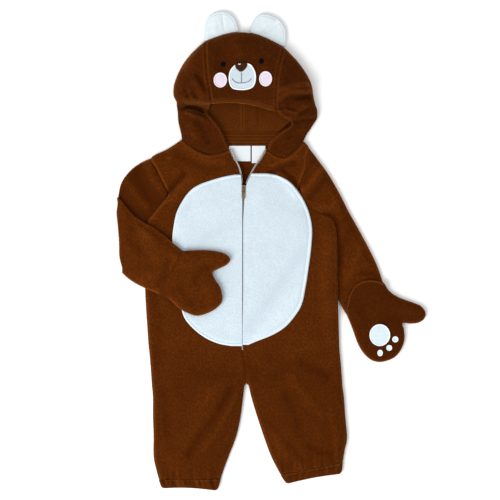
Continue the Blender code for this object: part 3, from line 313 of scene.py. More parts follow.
def stepped(values, count):
    """Flags read between rows: on only where both neighbours are on."""
    at = np.linspace(0, len(values) - 1, count)
    return np.interp(at, np.arange(len(values)), values) > 0.9


def between(start, end, share):
    return start * (1 - share) + end * share


def bell(away, width):
    return np.exp(-((away / width) ** 2))


def smooth(t):
    t = np.clip(t, 0, 1)
    return t * t * (3 - 2 * t)


def rounded(t):
    t = np.clip(t, 0, 1)
    return np.sqrt(t * (2 - t))


def shares(count):
    """Places across a piece, closer together near both edges."""
    return (1 - np.cos(np.pi * np.arange(count) / (count - 1))) / 2


def distance(points, starts, ends):
    """Distance in plan from each point to the nearest of some straight edges."""
    along = (ends - starts)[:, :2]
    long = np.maximum((along**2).sum(-1), 1e-9)
    flat = points[..., :2].reshape(-1, 2)
    found = np.empty(len(flat))
    for k in range(0, len(flat), 4000):
        away = flat[k:k + 4000, None] - starts[None, :, :2]
        t = np.clip((away * along).sum(-1) / long, 0, 1)
        found[k:k + 4000] = np.sqrt(((away - t[..., None] * along) ** 2).sum(-1).min(-1))
    return found.reshape(points.shape[:-1])


def line_distance(points, line):
    line = np.array(line, float)
    return distance(points, line[:-1], line[1:])


def sewn_edges(points, sewn, closed=False):
    """The straight edges of a line whose ends are both sewn."""
    after, sewn_after = np.roll(points, -1, axis=0), np.roll(sewn, -1)
    keep = sewn & sewn_after
    if not closed:
        keep[-1] = False
    return points[keep], after[keep]


def unit(vectors):
    return vectors / np.maximum(np.linalg.norm(vectors, axis=-1, keepdims=True), 1e-9)


def normals(grid, ring=False):
    across = np.roll(grid, -1, axis=1) - np.roll(grid, 1, axis=1) if ring else np.gradient(grid, axis=1)
    return unit(np.cross(np.gradient(grid, axis=0), across))


def side_normals(line, side):
    """Level unit normals of a line in plan, to its left (+1) or right (-1)."""
    along = unit(np.gradient(line[:, :2], axis=0))
    return side * np.stack([-along[:, 1], along[:, 0], np.zeros(len(line))], 1)


def upward(found):
    return found * np.where(found[..., 2:].mean() < 0, -1, 1)


def creases(points, rows):
    """Height of some soft creases at each point in plan."""
    total = np.zeros(points.shape[:-1])
    for width, height, line in rows:
        total += height * bell(line_distance(points, line), width)
    return total


def gathers(along, seed):
    """The small upright folds that an elastic draws into cloth, uneven in size and spacing."""
    flat = np.ravel(along)
    small, large, uneven = (np.array([noise.noise((x / size, seed, layer)) for x in flat])
                            for size, layer in ((5.6, 0.0), (10.0, 5.0), (26.0, 9.0)))
    return ((0.55 + 0.9 * np.abs(uneven)) * (2.6 * small + 1.4 * large)).reshape(np.shape(along))


def lumps(points, size, height, seed):
    """The small unevenness of soft cloth, in lumps of one size."""
    flat = points[..., :2].reshape(-1, 2) / size
    found = [noise.noise((x, y, seed)) for x, y in flat]
    return height * np.array(found).reshape(points.shape[:-1])


def finish_mesh(name, bm, finish):
    """The object of a closed mesh, its faces turned outwards."""
    bmesh.ops.recalc_face_normals(bm, faces=bm.faces)
    if bm.calc_volume(signed=True) < 0:
        bmesh.ops.reverse_faces(bm, faces=bm.faces)
    for face in bm.faces:
        face.smooth = True
    mesh = bpy.data.meshes.new(name)
    bm.to_mesh(mesh)
    bm.free()
    mesh.materials.append(finish)
    return placed(name, mesh)


def cloth(name, outer, inner, finish, ring=False, painted_light_and_tone=None):
    """A cloth wall: a grid on the outer points, thickened to the inner ones. An attribute on it runs along its rows
    and columns, in millimetres, and its third value is painted light: up to 1 for a painted highlight beside a seam
    or on a rolled edge, below 0 for painted shade in troughs, and some pieces and parts a little darker or lighter
    throughout."""
    painted_light_and_tone = np.zeros(outer.shape[:2]) if painted_light_and_tone is None else painted_light_and_tone
    if ring:
        outer, inner, painted_light_and_tone = (np.concatenate([part, part[:, :1]], axis=1) for part in (outer, inner, painted_light_and_tone))
    rows, columns = outer.shape[:2]
    across = np.linalg.norm(np.diff(outer, axis=1, prepend=outer[:, :1]), axis=-1).cumsum(1)
    down = np.linalg.norm(np.diff(outer, axis=0, prepend=outer[:1]), axis=-1).cumsum(0)
    bm = bmesh.new()
    bmesh.ops.create_grid(bm, x_segments=columns - 1, y_segments=rows - 1, size=1)
    partner = bm.verts.layers.float_vector.new("partner")
    weave_and_painted_light = bm.verts.layers.float_vector.new("weave_and_painted_light")
    lists = (outer.reshape(-1, 3) * MM, inner.reshape(-1, 3) * MM, across.ravel(), down.ravel(), painted_light_and_tone.ravel())
    for vert, out_point, in_point, u, v, w in zip(bm.verts, *(values.tolist() for values in lists)):
        vert.co = out_point
        vert[partner] = in_point
        vert[weave_and_painted_light] = (u, v, w)
    if ring:
        bmesh.ops.remove_doubles(bm, verts=bm.verts, dist=1e-7)
    made = bmesh.ops.extrude_face_region(bm, geom=bm.faces[:])
    for vert in (item for item in made["geom"] if isinstance(item, bmesh.types.BMVert)):
        vert.co = vert[partner]
    bm.verts.layers.float_vector.remove(bm.verts.layers.float_vector["partner"])
    return finish_mesh(name, bm, finish)


def sewn_on(made, slot, *nodes):
    """The piece belongs to the garment and stands for the CAD nodes named, where there are any."""
    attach(made, "garment")
    if nodes:
        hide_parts(*nodes)
    return made


def lengths(line):
    """The length along a line up to each of its points."""
    return np.concatenate([[0], np.cumsum(np.linalg.norm(np.diff(line, axis=0), axis=1))])


def lift(plan):
    """How far the body's left side lies above the table, on the flat sleeve."""
    x, y = plan[..., 0], plan[..., 1]
    return TUCK * smooth((x - TUCK_X) / 16) * smooth((TUCK_TOP - y) / 20) * smooth((y - TUCK_FOOT) / 30)


def body_sections(rows, count, back=False):
    named = columns_of(rows)
    fine = {name: refined(column, count) for name, column in named.items()}
    inner_x = fine["back_x"] if back else fine["in_x"]
    if back:
        fine["in_y"][0] = BACK_NECK
    edges = np.stack([fine["out_x"], fine["out_y"]], 1), np.stack([inner_x, fine["in_y"]], 1)
    return edges, fine, (stepped(named["sewn_out"], count), stepped(named["sewn_in"], count))


def body_plan(edges, dip, columns):
    across = shares(columns)[None, :, None]
    plan = between(edges[0][:, None], edges[1][:, None], across)
    plan[..., 1] -= dip[:, None] * np.sin(np.pi * across[..., 0])
    return plan


def body_edge_distance(plan, edges, sewn):
    outer, inner = sewn_edges(edges[0], sewn[0]), sewn_edges(edges[1], sewn[1])
    return distance(plan, np.concatenate([outer[0], inner[0]]), np.concatenate([outer[1], inner[1]]))


def level_sewn_sides(found, plan, sewn):
    """Makes the normals of sewn edges lie level, so that front and back meet face to face."""
    turn = np.sign(plan[0, -1, 0] - plan[0, 0, 0])
    found[sewn[0], 0] = side_normals(plan[:, 0], -turn)[sewn[0]]
    found[sewn[1], -1] = side_normals(plan[:, -1], turn)[sewn[1]]


def seam_relief(away, groove=0.9, ridge=0.45):
    """A sewn seam: the stitch line sinks and the cloth stands up a little beside it."""
    return ridge * bell(away - 3 * SEAM_WIDE, 1.6 * SEAM_WIDE) - groove * bell(away, SEAM_WIDE)


def seam_highlight_at(away):
    """Painted highlight: strongest on the ridge beside a seam, fading to 0."""
    return 0.85 * bell(away - 2 * SEAM_WIDE, 0.9 * SEAM_WIDE)


def with_fold_shading(painted_light_and_tone, folds, share):
    """Painted light of the nap with its folds: painted lighter along their ridges and painted shade in their troughs.
    """
    return np.clip(painted_light_and_tone + share * folds, -0.8, 1)


def front_panel(name, rows, seed):
    count, columns = 241, 85
    edges, fine, sewn = body_sections(rows, count)
    plan = body_plan(edges, fine["dip"], columns)
    away = body_edge_distance(plan, edges, sewn)
    rise = fine["rise"][:, None]
    z = SEAM + GAP / 2 + lift(plan) + rise * rounded(away / (ROUND * rise)) + SWELL * smooth(away / SWELL_IN)
    to_zip = np.linalg.norm(plan - plan[:, -1:], axis=-1)
    z -= fine["sag"][:, None] * (1 - smooth(to_zip / SAG_IN))
    inside = smooth(away / 12)
    folds = CREASE * creases(plan, FRONT_CREASES) * inside
    z += folds
    above_hem = np.linalg.norm(plan - plan[-1:], axis=-1)
    pulled = 1.5 * gathers(plan[..., 0], seed) * np.exp(-above_hem / GATHER_UP) * smooth(away / 8)
    z += pulled - 1.5 * bell(above_hem, 3.0)
    z += (lumps(plan, 42, 0.9, seed) + lumps(plan, 15, 0.35, seed + 5)) * inside
    armhole = ~sewn[0] & (np.arange(count) < count // 2)
    # Painted light: a highlight painted beside the sewn edges, the armhole and the neck seam, painted highlight and
    # shade along the creases and the hem's gathers, and the legs darker below LEG_TOP.
    painted_light_and_tone = 0.5 * seam_highlight_at(away)
    for edge in (plan[armhole, 0], plan[0]):
        from_seam = line_distance(plan, edge)
        z += seam_relief(from_seam)
        painted_light_and_tone = np.maximum(painted_light_and_tone, seam_highlight_at(from_seam))
    below_zip = (edges[1][:, 1] < ZIP_FOOT) & ~sewn[1]
    z += seam_relief(line_distance(plan, edges[1][below_zip]), groove=0.6)
    painted_light_and_tone = with_fold_shading(painted_light_and_tone - 0.16 * smooth((LEG_TOP - plan[..., 1]) / 50), folds + 1.7 * pulled, 0.11)
    grid = np.concatenate([plan, z[..., None]], -1)
    found = upward(normals(grid))
    level_sewn_sides(found, grid, sewn)
    made = cloth(name, grid, grid - CLOTH * found, brown_fleece, painted_light_and_tone=painted_light_and_tone)
    return grid, made


right_grid, front_right = front_panel("front_right_panel", FRONT_RIGHT, 3.1)
left_grid, front_left = front_panel("front_left_panel", FRONT_LEFT, 8.4)
sewn_on(front_right, "brown_fleece", "front_right")
sewn_on(front_left, "brown_fleece", "front_left")

# Backs, right and left, joined by a seam down the centre back. They lie flat on the table, apart from the left
# one's side, which lies on the sleeve that is tucked under it.

SEAM_TAKES = 0.19  # how far each back reaches out to its partner at the centre back


def back_panel(name, rows):
    count = 121
    edges, fine, sewn = body_sections(rows, count, back=True)
    edges[1][:, 0] += SEAM_TAKES * np.sign(edges[1][:, 0] - edges[0][:, 0]) * ~sewn[1]
    plan = body_plan(edges, np.zeros(count), 33)
    away = body_edge_distance(plan, edges, sewn)
    z = lift(plan) + (SEAM - GAP / 2) * (1 - rounded(away / (ROUND * SEAM)))
    grid = np.concatenate([plan, z[..., None]], -1)
    found = -upward(normals(grid))
    level_sewn_sides(found, grid, sewn)
    return cloth(name, grid, grid - CLOTH * found, brown_fleece)


back_right = sewn_on(back_panel("back_right_panel", FRONT_RIGHT), "brown_fleece", "back_right")
back_left = sewn_on(back_panel("back_left_panel", FRONT_LEFT), "brown_fleece", "back_left")

# Belly: a white fleece oval in two halves, laid on the fronts and sewn down just inside its edge with one row of
# stitching, and caught with them in the zip's seam.

BELLY_THICK = 1.8
BELLY_CREASES = [(11, -0.9, [(-34, -126), (6, -70), (58, 6)]), (10, 0.8, [(-20, -140), (26, -96), (76, -40)]),
                 (10, -0.8, [(-132, -10), (-104, 24), (-76, 44)])]
STITCH_IN = 4.6  # from the oval's edge to its row of stitches
PAST_FRONT = 1.75  # how far the belly reaches past the front's edge, towards the zip
REACH = 0.8  # how far round a point the cloth beneath is felt
# Each row: y, and the x of the oval's edge.
BELLY_RIGHT = [
    (125.5, -60), (122, -79), (116, -100), (108, -121), (97, -136), (80, -148), (61, -157), (36, -162),
    (13, -164), (-15, -164), (-40, -163), (-65, -159), (-95, -149), (-113, -142), (-130, -127),
    (-144, -108), (-153, -87), (-157, -66),
]
BELLY_LEFT = [
    (127.5, -20), (127, -3), (123, 12), (114, 29), (99, 43), (78, 56), (55, 64), (32, 67), (2, 65),
    (-29, 61), (-61, 56), (-88, 50), (-107, 39), (-126, 22), (-139, 1), (-149, -24), (-155, -38),
]
white_fleece = fleece("white_fleece", (0.465, 0.545, 0.60), (0.525, 0.61, 0.665), (0.60, 0.685, 0.735),
                      (0.9, 0.96, 1.0), sheen=0.12, tufts=420.0, depth=0.0007)


def surface_of(objects):
    """A tree for finding the top of some objects, in millimetres."""
    points, faces = [], []
    for made in objects:
        offset = len(points)
        points += [tuple(vert.co / MM) for vert in made.data.vertices]
        faces += [[offset + i for i in face.vertices] for face in made.data.polygons]
    return BVHTree.FromPolygons(points, faces)


def top_at(tree, x, y):
    hit = tree.ray_cast(Vector((x, y, 500)), Vector((0, 0, -1)))[0]
    return hit.z if hit else 0.0


def heights_on(tree, plan, reach=0.0):
    """Highest point of the cloth beneath each plan point, or within a short reach of it."""
    around = np.arange(6) * math.pi / 3 if reach else ()
    steps = [(0, 0)] + [(reach * math.cos(a), reach * math.sin(a)) for a in around]
    flat = plan.reshape(-1, plan.shape[-1])[:, :2]
    found = [max(top_at(tree, x + dx, y + dy) for dx, dy in steps) for x, y in flat]
    return np.array(found).reshape(plan.shape[:-1])


def level_rows(x, y):
    """Plan points of rows that run straight across: x along each row, and one y to a row."""
    return np.dstack([x, np.repeat(y[:, None], x.shape[1], axis=1)])


def belly_half(name, rows, front, zip_line, side):
    fine = refined(rows, 145)
    zip_x = np.interp(-fine[:, 0], -zip_line[:, 1], zip_line[:, 0]) - side * PAST_FRONT
    plan = level_rows(between(fine[:, 1, None], zip_x[:, None], shares(51)), fine[:, 0])
    away = line_distance(plan, np.concatenate([plan[0, ::-1], plan[:, 0], plan[-1]]))
    seat = plan.copy()
    seat[..., 0] = side * np.maximum(side * plan[..., 0], side * zip_x[:, None] + PAST_FRONT + REACH)
    under = heights_on(surface_of([front]), seat, REACH) + GAP
    over = 0.5 + BELLY_THICK * rounded(away / 2.2) * 0.75
    over += 0.7 * bell(away - 2.4, 1.6) - 0.6 * bell(away - STITCH_IN, 1.1)
    folds = creases(plan, BELLY_CREASES) * smooth(away / 8)
    over += 0.45 * smooth((away - STITCH_IN) / 5) + lumps(plan, 24, 0.25, side + 4.0) * smooth(away / 8) + folds
    top = np.dstack([plan, under + over])
    # Painted highlight along the rolled rim, the rest a little darker, and painted highlight and shade on the
    # creases.
    rim_highlight = 1.2 * bell(away - 1.6, 1.8) - 0.12
    made = cloth(name, top, np.dstack([plan, under]), white_fleece, painted_light_and_tone=with_fold_shading(rim_highlight, folds, 0.35))
    return made, plan[:, 0]


belly_right, belly_edge_right = belly_half("belly_right_half", BELLY_RIGHT, front_right, right_grid[:, -1], -1)
belly_left, belly_edge_left = belly_half("belly_left_half", BELLY_LEFT, front_left, left_grid[:, -1], 1)
sewn_on(belly_right, "white_fleece", "belly_right")
sewn_on(belly_left, "white_fleece", "belly_left")

# Sleeves: each is one piece of brown fleece sewn into a tube. The left one lies beside the body with its inner
# part tucked under the body's side. The right one is folded at the elbow, with its forearm over the front.

FLAT = 3.4  # half the height of a flat sleeve
ARM_GAP = 0.1  # between the sleeve and the armhole
ARM_CLEAR = 0.9  # between the forearm and the cloth beneath it
ON_BODY = 11.0  # least middle height of the forearm
# Each row: edge a and edge b in plan, how far the cloth puffs up, how much of it lies under another piece at edge b,
# and how far the row bows.
SLEEVE_LEFT = [
    (62.6, 169.6, 52.6, 85.0, 5, 0, 0),
    (69.5, 160.5, 59.1, 73.6, 5, 1, 0),
    (78, 149, 65.8, 68.8, 5, 2, 0),
    (95, 125, 81.8, 60.9, 5, 5, 0),
    (113, 94, 98, 49, 4.5, 11, 0),
    (127, 66, 98.5, 30, 4, 14, 0),
    (146, 32, 95, -10, 4.5, 22, 0),
    (163, 0, 97, -45, 4.5, 20, 0),
    (174, -23, 104, -70, 2.8, 14, 0),
    (181, -42, 113, -86, 0.2, 4, 0),
    (186, -57, 120, -99, 0, 0, 0),
]
SLEEVE_RIGHT_UPPER = [
    (-199.6, 152.8, -208.8, 12, 5, 70, 0),
    (-217, 145, -216, 2, 4.5, 70, 0),
    (-234.5, 131.5, -228, -8, 3.5, 80, 0),
    (-248.3, 112, -239, -22, 1.5, 95, 0),
    (-253.4, 89, -244.5, -38.5, 0, 100, 3.5),
]
SLEEVE_RIGHT_FOREARM = [
    (-253.4, 89, -244.5, -38.5, 0, 0, 3.5),
    (-244, 77.5, -235.5, -46.5, 1.5, 0, 1),
    (-227.5, 58, -224, -54, 3, 0, 0),
    (-211, 47, -212, -60, 4, 0, 0),
    (-194, 37, -203, -64, 4.5, 0, 0),
    (-176, 24, -195, -67.5, 4.5, 0, 0),
    (-161, 12, -190, -69.5, 4, 0, 0),
    (-145.56, -0.24, -185.56, -71.24, 3.5, 0, 0),
]
SLEEVE_LEFT_CREASES = [
    (6, 1.8, [(88, 142), (70, 120), (54, 102)]),
    (5, -1.6, [(98, 128), (80, 106), (64, 88)]),
    (7, 1.0, [(112, 92), (98, 72), (80, 70)]),
    (6, -1.0, [(70, 158), (62, 128), (56, 112)]),
    (7, -0.9, [(134, 40), (118, 10), (112, -20)]),
    (7, 0.9, [(150, 10), (136, -20), (126, -46)]),
    (5, -1.6, [(152, -36), (168, -36), (176, -40)]),
    (6, -0.9, [(118, 50), (132, 58)]),
]
UPPER_ARM_CREASES = [
    (8, 1.3, [(-206, 146), (-196, 122), (-184, 102)]),
    (7, -1.3, [(-222, 132), (-208, 104), (-196, 84)]),
    (7, 1.0, [(-238, 112), (-222, 92), (-206, 74)]),
]
FOREARM_CREASES = [
    (8, -0.9, [(-232, 20), (-214, 2), (-206, -24)]),
    (9, 0.8, [(-226, 52), (-200, 20), (-190, -10)]),
    (7, -0.9, [(-236, 66), (-228, 40)]),
    (5, -1.2, [(-168, -16), (-172, -34), (-184, -56)]),
    (6, 0.8, [(-160, -10), (-164, -30)]),
    (8, 0.7, [(-216, -50), (-198, -40)]),
]


def points_along(line, share):
    """Points at given shares of a line's length, one of them moved to the line's deepest corner."""
    length = lengths(line)
    corner = length[np.argmax(distance(line, line[:1], line[-1:]))]
    place = share * length[-1]
    nearest = place[np.argmin(np.abs(place - corner))]
    place = np.where(np.isclose(place, nearest), corner, place)
    return np.stack([np.interp(place, length, line[:, k]) for k in (0, 1)], 1)


def flat_tube(table_rows, count, columns, base=None, start=None, fade_rows=1.0, turned=False, soft=()):
    """Rings of a flattened tube: along its upper side from edge a to edge b, and back along its lower side."""
    rows = refined(table_rows, count)
    half = columns // 2
    place = (shares(half + 1) + 2 * np.linspace(0, 1, half + 1)) / 3
    c = np.concatenate([place, place[::-1][1:-1]])
    upper = np.arange(len(c)) <= half
    a, b = rows[:, 0:2], rows[:, 2:4]
    width = np.linalg.norm(b - a, axis=1, keepdims=True)
    row = unit(b - a)
    side = np.stack([-row[:, 1], row[:, 0]], 1)
    plan = between(a[:, None], b[:, None], c[None, :, None])
    plan += (rows[:, 6, None] * np.sin(np.pi * c))[..., None] * side[:, None]
    if start is not None:
        at = np.linspace(0, len(table_rows) - 1, count)
        fade = np.clip(1 - at / fade_rows, 0, 1)[:, None, None]
        plan += fade * (points_along(start, c) - plan[0])[None]
    near = np.minimum(c, 1 - c)[None] * width
    body = FLAT * rounded(near / (ROUND * FLAT))
    from_b = (1 - c)[None] * width - rows[:, 5, None]
    puff = rows[:, 4, None] * smooth(c[None] * width / 16) * smooth(from_b / 14)
    middle = np.full(plan.shape[:2], FLAT) if base is None else base(plan)
    raised = ~upper if turned else upper
    up = np.where(upper, 1.0, -1.0) * (-1 if turned else 1)
    folds = CREASE * creases(plan, soft) + lumps(plan, 26, 0.7, 2.2) + lumps(plan, 11, 0.25, 7.7)
    folds *= smooth(near / 12) * smooth((from_b + 8) / 12)
    z = middle + up * (body + (puff + folds) * raised)
    return np.dstack([plan, z])


def fold_rings(before, after, count):
    """Rings that carry a flat tube round its fold, from the last ring beneath to the first above."""
    middle = (before + after) / 2
    along = np.linalg.norm(before[:, :2] - before[0, :2], axis=1)
    from_end = np.minimum(along, along.max() - along)
    reach = np.abs(before[:, 2] - after[:, 2]) / 2 * (0.1 + 0.9 * smooth(from_end / 32))
    rings = []
    for turn in np.linspace(0, np.pi, count + 2)[1:-1]:
        ring = middle + (before - after) / 2 * math.cos(turn)
        ring[:, 0] = middle[:, 0] - reach * math.sin(turn)
        rings.append(ring)
    return np.array(rings)


def tube(name, rings, painted_light_and_tone):
    found = normals(rings, ring=True)
    if (found * (rings - rings.mean(axis=1, keepdims=True))).sum(-1).mean() < 0:
        found = -found
    return cloth(name, rings, rings - CLOTH * found, brown_fleece, ring=True, painted_light_and_tone=painted_light_and_tone)


def armhole(grid, top_y, bottom_y, outward):
    """A front's outer edge between two heights, moved out from the panel."""
    edge = grid[:, 0, :2] + ARM_GAP * side_normals(grid[:, 0], outward)[:, :2]
    keep = (grid[:, 0, 1] <= top_y) & (grid[:, 0, 1] >= bottom_y)
    return edge[keep]


class Drape:
    """A soft sheet's height over what lies beneath it: never lower, and smoother."""

    STEP = 3.0

    def __init__(self, objects, low, high):
        tree = surface_of(objects)
        self.low = np.array(low, float)
        count = ((np.array(high) - self.low) / self.STEP).astype(int) + 1
        found = np.array([[top_at(tree, low[0] + i * self.STEP, low[1] + j * self.STEP) for j in range(count[1])]
                          for i in range(count[0])])
        for rule in (np.max,) * 3 + (np.mean,) * 4:
            wide = np.pad(found, 1, mode="edge")
            near = [wide[i:i + count[0], j:j + count[1]] for i in range(3) for j in range(3)]
            found = rule(np.stack(near), axis=0)
        self.found = found

    def at(self, plan):
        place = np.clip((plan[..., :2] - self.low) / self.STEP, 0, np.array(self.found.shape) - 1.001)
        i, j = place[..., 0].astype(int), place[..., 1].astype(int)
        s, t = place[..., 0] - i, place[..., 1] - j
        near = self.found[i, j] * (1 - s) * (1 - t) + self.found[i + 1, j] * s * (1 - t)
        return near + self.found[i, j + 1] * (1 - s) * t + self.found[i + 1, j + 1] * s * t


def tube_painted_light(rings, soft=()):
    """Painted light of a flat tube: a painted highlight where its cloth rolls over at its two edges, and painted
    highlight and shade along the folds on its raised side.
    """
    half = rings.shape[1] // 2
    from_a = np.linalg.norm(rings[..., :2] - rings[:, :1, :2], axis=-1)
    from_b = np.linalg.norm(rings[..., :2] - rings[:, half:half + 1, :2], axis=-1)
    raised = rings[..., 2] > rings[..., 2].mean(axis=1, keepdims=True)
    rolled_edge_highlight = 0.75 * bell(np.minimum(from_a, from_b), 3.0)
    return with_fold_shading(rolled_edge_highlight, CREASE * creases(rings, soft) * raised, 0.13)


left_rings = flat_tube(SLEEVE_LEFT, 130, 128, start=armhole(left_grid, 170.5, 80.0, 1), fade_rows=2.7,
                       soft=SLEEVE_LEFT_CREASES)
sleeve_left = tube("sleeve_left_tube", left_rings, tube_painted_light(left_rings, SLEEVE_LEFT_CREASES))
sewn_on(sleeve_left, "brown_fleece", "sleeve_left")

drape = Drape([front_right, belly_right], (-262, -130), (-50, 120))


def forearm_base(plan):
    """Middle height of the forearm and its mitten, which lie on the upper arm and the front."""
    return np.maximum(ON_BODY, drape.at(plan) + ARM_CLEAR + FLAT)


UPPER_ROWS, AROUND = 48, 144
upper_arm = flat_tube(SLEEVE_RIGHT_UPPER, UPPER_ROWS, AROUND, start=armhole(right_grid, 153.5, 8.5, -1),
                      fade_rows=2.3, soft=UPPER_ARM_CREASES)
forearm = flat_tube(SLEEVE_RIGHT_FOREARM, 84, AROUND, base=forearm_base, turned=True, soft=FOREARM_CREASES)
elbow = fold_rings(upper_arm[-1], forearm[0], 9)
folded = np.concatenate([upper_arm, elbow, forearm])
# The upper arm's top side is painted darker, most towards the elbow, as painted shade beside the raised forearm;
# its rolled edges keep most of their painted highlight.
painted_light_and_tone_here = np.concatenate([tube_painted_light(upper_arm, UPPER_ARM_CREASES), tube_painted_light(elbow),
                       tube_painted_light(forearm, FOREARM_CREASES)])
upper_arm_top_painted_light = painted_light_and_tone_here[:UPPER_ROWS, :AROUND // 2 + 1]
upper_arm_top_painted_light -= 0.85 * (0.75 - upper_arm_top_painted_light) * np.linspace(0.6, 1, UPPER_ROWS)[:, None]
sleeve_right = sewn_on(tube("sleeve_right_tube", folded, painted_light_and_tone_here), "brown_fleece", "sleeve_right")

# Mittens: a back and a palm of brown fleece, sewn together round the hand and thumb. The right one lies on the
# belly, back up. The left one lies palm up, and the top of its palm is a loose flap over the end of the sleeve.

# Each outline's point: x, y and how its edge is held, 1 for curved and sewn, 0.5 for curved and loose, 0 for straight
# and loose.
MITTEN_RIGHT = [
    (-145.5, -0.5, 0), (-136, 0.5, 1), (-123, 1, 1), (-105, 1, 1), (-85, -2, 1), (-73, -7, 1), (-68, -15, 1),
    (-75, -24, 1), (-90, -31, 1), (-97, -36, 1), (-93, -47, 1), (-84, -61, 1), (-81, -81, 1), (-90, -94, 1),
    (-106, -103, 1), (-123, -107, 1), (-139, -102, 1), (-153, -94, 1), (-168, -80, 1), (-185.3, -71.6, 0),
    (-175.2, -53.8, 0), (-165.2, -36, 0), (-155.3, -18.3, 0),
]
MITTEN_LEFT_ROUND = [
    (124, -105, 1), (130, -119, 1), (136, -135, 1), (143, -154, 1), (152, -169, 1), (164, -180, 1),
    (177, -184, 1), (191, -182, 1), (205, -175, 1), (215, -162, 1), (220, -146, 1), (219, -130, 1),
    (217, -120, 1), (230, -120.5, 1), (243, -119, 1), (252, -113, 1), (255, -103, 1), (248, -92, 1),
    (235, -86, 1), (213, -78, 1), (199, -70, 1), (191.5, -62.5, 1),
]
PALM_ARC = [
    (185, -53, 0.5), (177, -49.5, 0.5), (163, -47, 0.5), (147, -50, 0.5), (134, -60, 0.5), (127, -74, 0.5),
    (124, -90, 0.5), (121.4, -99.4, 0.5),
]
WRIST_LINE = [(187.2, -57.9, 0), (170, -68.5, 0), (153.5, -79, 0), (137, -89.5, 0), (120.1, -99.7, 0)]
MITTEN_RIGHT_CENTRE = (-125, -42)
MITTEN_LEFT_CENTRE = (174, -108)
BACK_CREASES = [
    (5, -1.3, [(-104, -26), (-118, -34), (-126, -46)]),
    (7, 0.9, [(-100, -12), (-124, -16), (-142, -22)]),
    (8, -0.7, [(-150, -60), (-130, -84)]),
    (6, 0.6, [(-104, -60), (-100, -84)]),
]
PALM_CREASES = [
    (6, -1.2, [(212, -112), (198, -112), (186, -118)]),
    (7, 0.8, [(232, -100), (206, -98)]),
    (8, -0.6, [(150, -90), (160, -120)]),
]


def closed_outline(points, count):
    """A closed outline refined to a number of points, with its sewn flags."""
    points = np.array(points, float)
    looped = np.concatenate([points, points[:1]])
    at = np.linspace(0, len(points), count + 1)[:-1]
    straight = np.stack([np.interp(at, np.arange(len(looped)), looped[:, k]) for k in (0, 1)], 1)
    flag = np.minimum(looped[at.astype(int), 2], looped[np.ceil(at - 1e-9).astype(int), 2])
    curved = refined(looped[:, :2], count + 1)[:-1]
    return np.where(flag[:, None] > 0.2, curved, straight), flag > 0.9


def rings_of(outline, centre, count):
    """Plan points of a disc: rings of an outline drawn in towards a centre."""
    share = np.sin(np.linspace(0, 1, count + 1) * np.pi / 2)
    centre = np.array(centre, float)
    return centre + share[:, None, None] * (outline[None, :, :2] - centre)


def disc(name, outer, inner, finish, painted_light_and_tone=None):
    """A closed piece from rings of points round a centre: a sphere's upper half on the outer points and its lower
    half on the inner ones."""
    rings, around = outer.shape[0] - 1, outer.shape[1]
    steps = 2 * rings + 1
    bm = bmesh.new()
    bmesh.ops.create_uvsphere(bm, u_segments=around, v_segments=steps, radius=1)
    weave_and_painted_light = bm.verts.layers.float_vector.new("weave_and_painted_light")
    for vert in bm.verts:
        ring = round(math.acos(max(-1, min(1, vert.co.z))) / math.pi * steps)
        turn = round(math.atan2(vert.co.y, vert.co.x) / (2 * math.pi) * around) % around
        vert.co = (outer[ring, turn] if ring <= rings else inner[steps - ring, turn]) * MM
        painted_light_and_tone_here = 0.0 if painted_light_and_tone is None or ring > rings else painted_light_and_tone[ring, turn]
        vert[weave_and_painted_light] = (turn / around, min(ring, steps - ring) / rings, painted_light_and_tone_here)
    return finish_mesh(name, bm, finish)


def mitten_side(points, centre, base, rise, up, folds=(), flap=(), seam_in=0.0):
    """Back or palm of a mitten: a pillowed disc, its sewn edge level with its partner's."""
    outline, sewn = closed_outline(points, 8 * len(points))
    plan = rings_of(outline, centre, 32)
    away = distance(plan, *sewn_edges(outline, sewn, closed=True))
    height = rise * rounded(away / (ROUND * rise))
    inside = smooth(away / 9) * (up > 0)
    shaped = CREASE * creases(plan, folds) * inside
    height += shaped + (lumps(plan, 17, 0.5, up + 1.3) + lumps(plan, 8, 0.25, up + 6.1)) * inside
    if seam_in and up > 0:
        height -= 0.8 * bell(away - seam_in, 0.9)
    # Painted highlight round the edge; on a palm with a flap, the piece is darker throughout and a highlight is
    # painted along the flap's rolled edge; painted highlight and shade on the creases.
    painted_light_and_tone = 0.75 * bell(away, 3.0)
    if flap:
        from_edge = line_distance(plan, flap)
        height += 0.9 * bell(from_edge - 2.6, 1.7) - 0.9 * bell(from_edge - 5.6, 1.1)
        height -= 2.0 * (1 - rounded(from_edge / 2.2))
        painted_light_and_tone = painted_light_and_tone - 0.4 + 1.2 * bell(from_edge - 2.6, 1.3)
    painted_light_and_tone = with_fold_shading(painted_light_and_tone, shaped, 0.1)
    middle = base(plan)
    outer = np.dstack([plan, middle + up * (GAP / 2 + height)])
    inner = outer - np.array([0, 0, up * CLOTH])
    along = np.roll(outline, -1, axis=0) - np.roll(outline, 1, axis=0)
    inward = unit(np.stack([-along[:, 1], along[:, 0]], 1))
    inward *= np.sign((inward * (np.array(centre) - outline)).sum(1).sum())
    rim = outer[-1].copy()
    rim[:, :2] += CLOTH * inward
    inner[-1] = np.where(sewn[:, None], rim, inner[-1])
    inner[..., 2] = up * np.maximum(up * inner[..., 2], up * middle + GAP / 2)
    return outer, inner, painted_light_and_tone


def on_table(plan):
    """Middle height of a flat pair of layers that lie on the table."""
    return np.full(plan.shape[:2], SEAM)


def mitten_piece(name, node, rests_on, *shape, **more):
    outer, inner, painted_light_and_tone = mitten_side(*shape, **more)
    made = sewn_on(disc(name, outer, inner, brown_fleece, painted_light_and_tone), "brown_fleece", node)
    return made


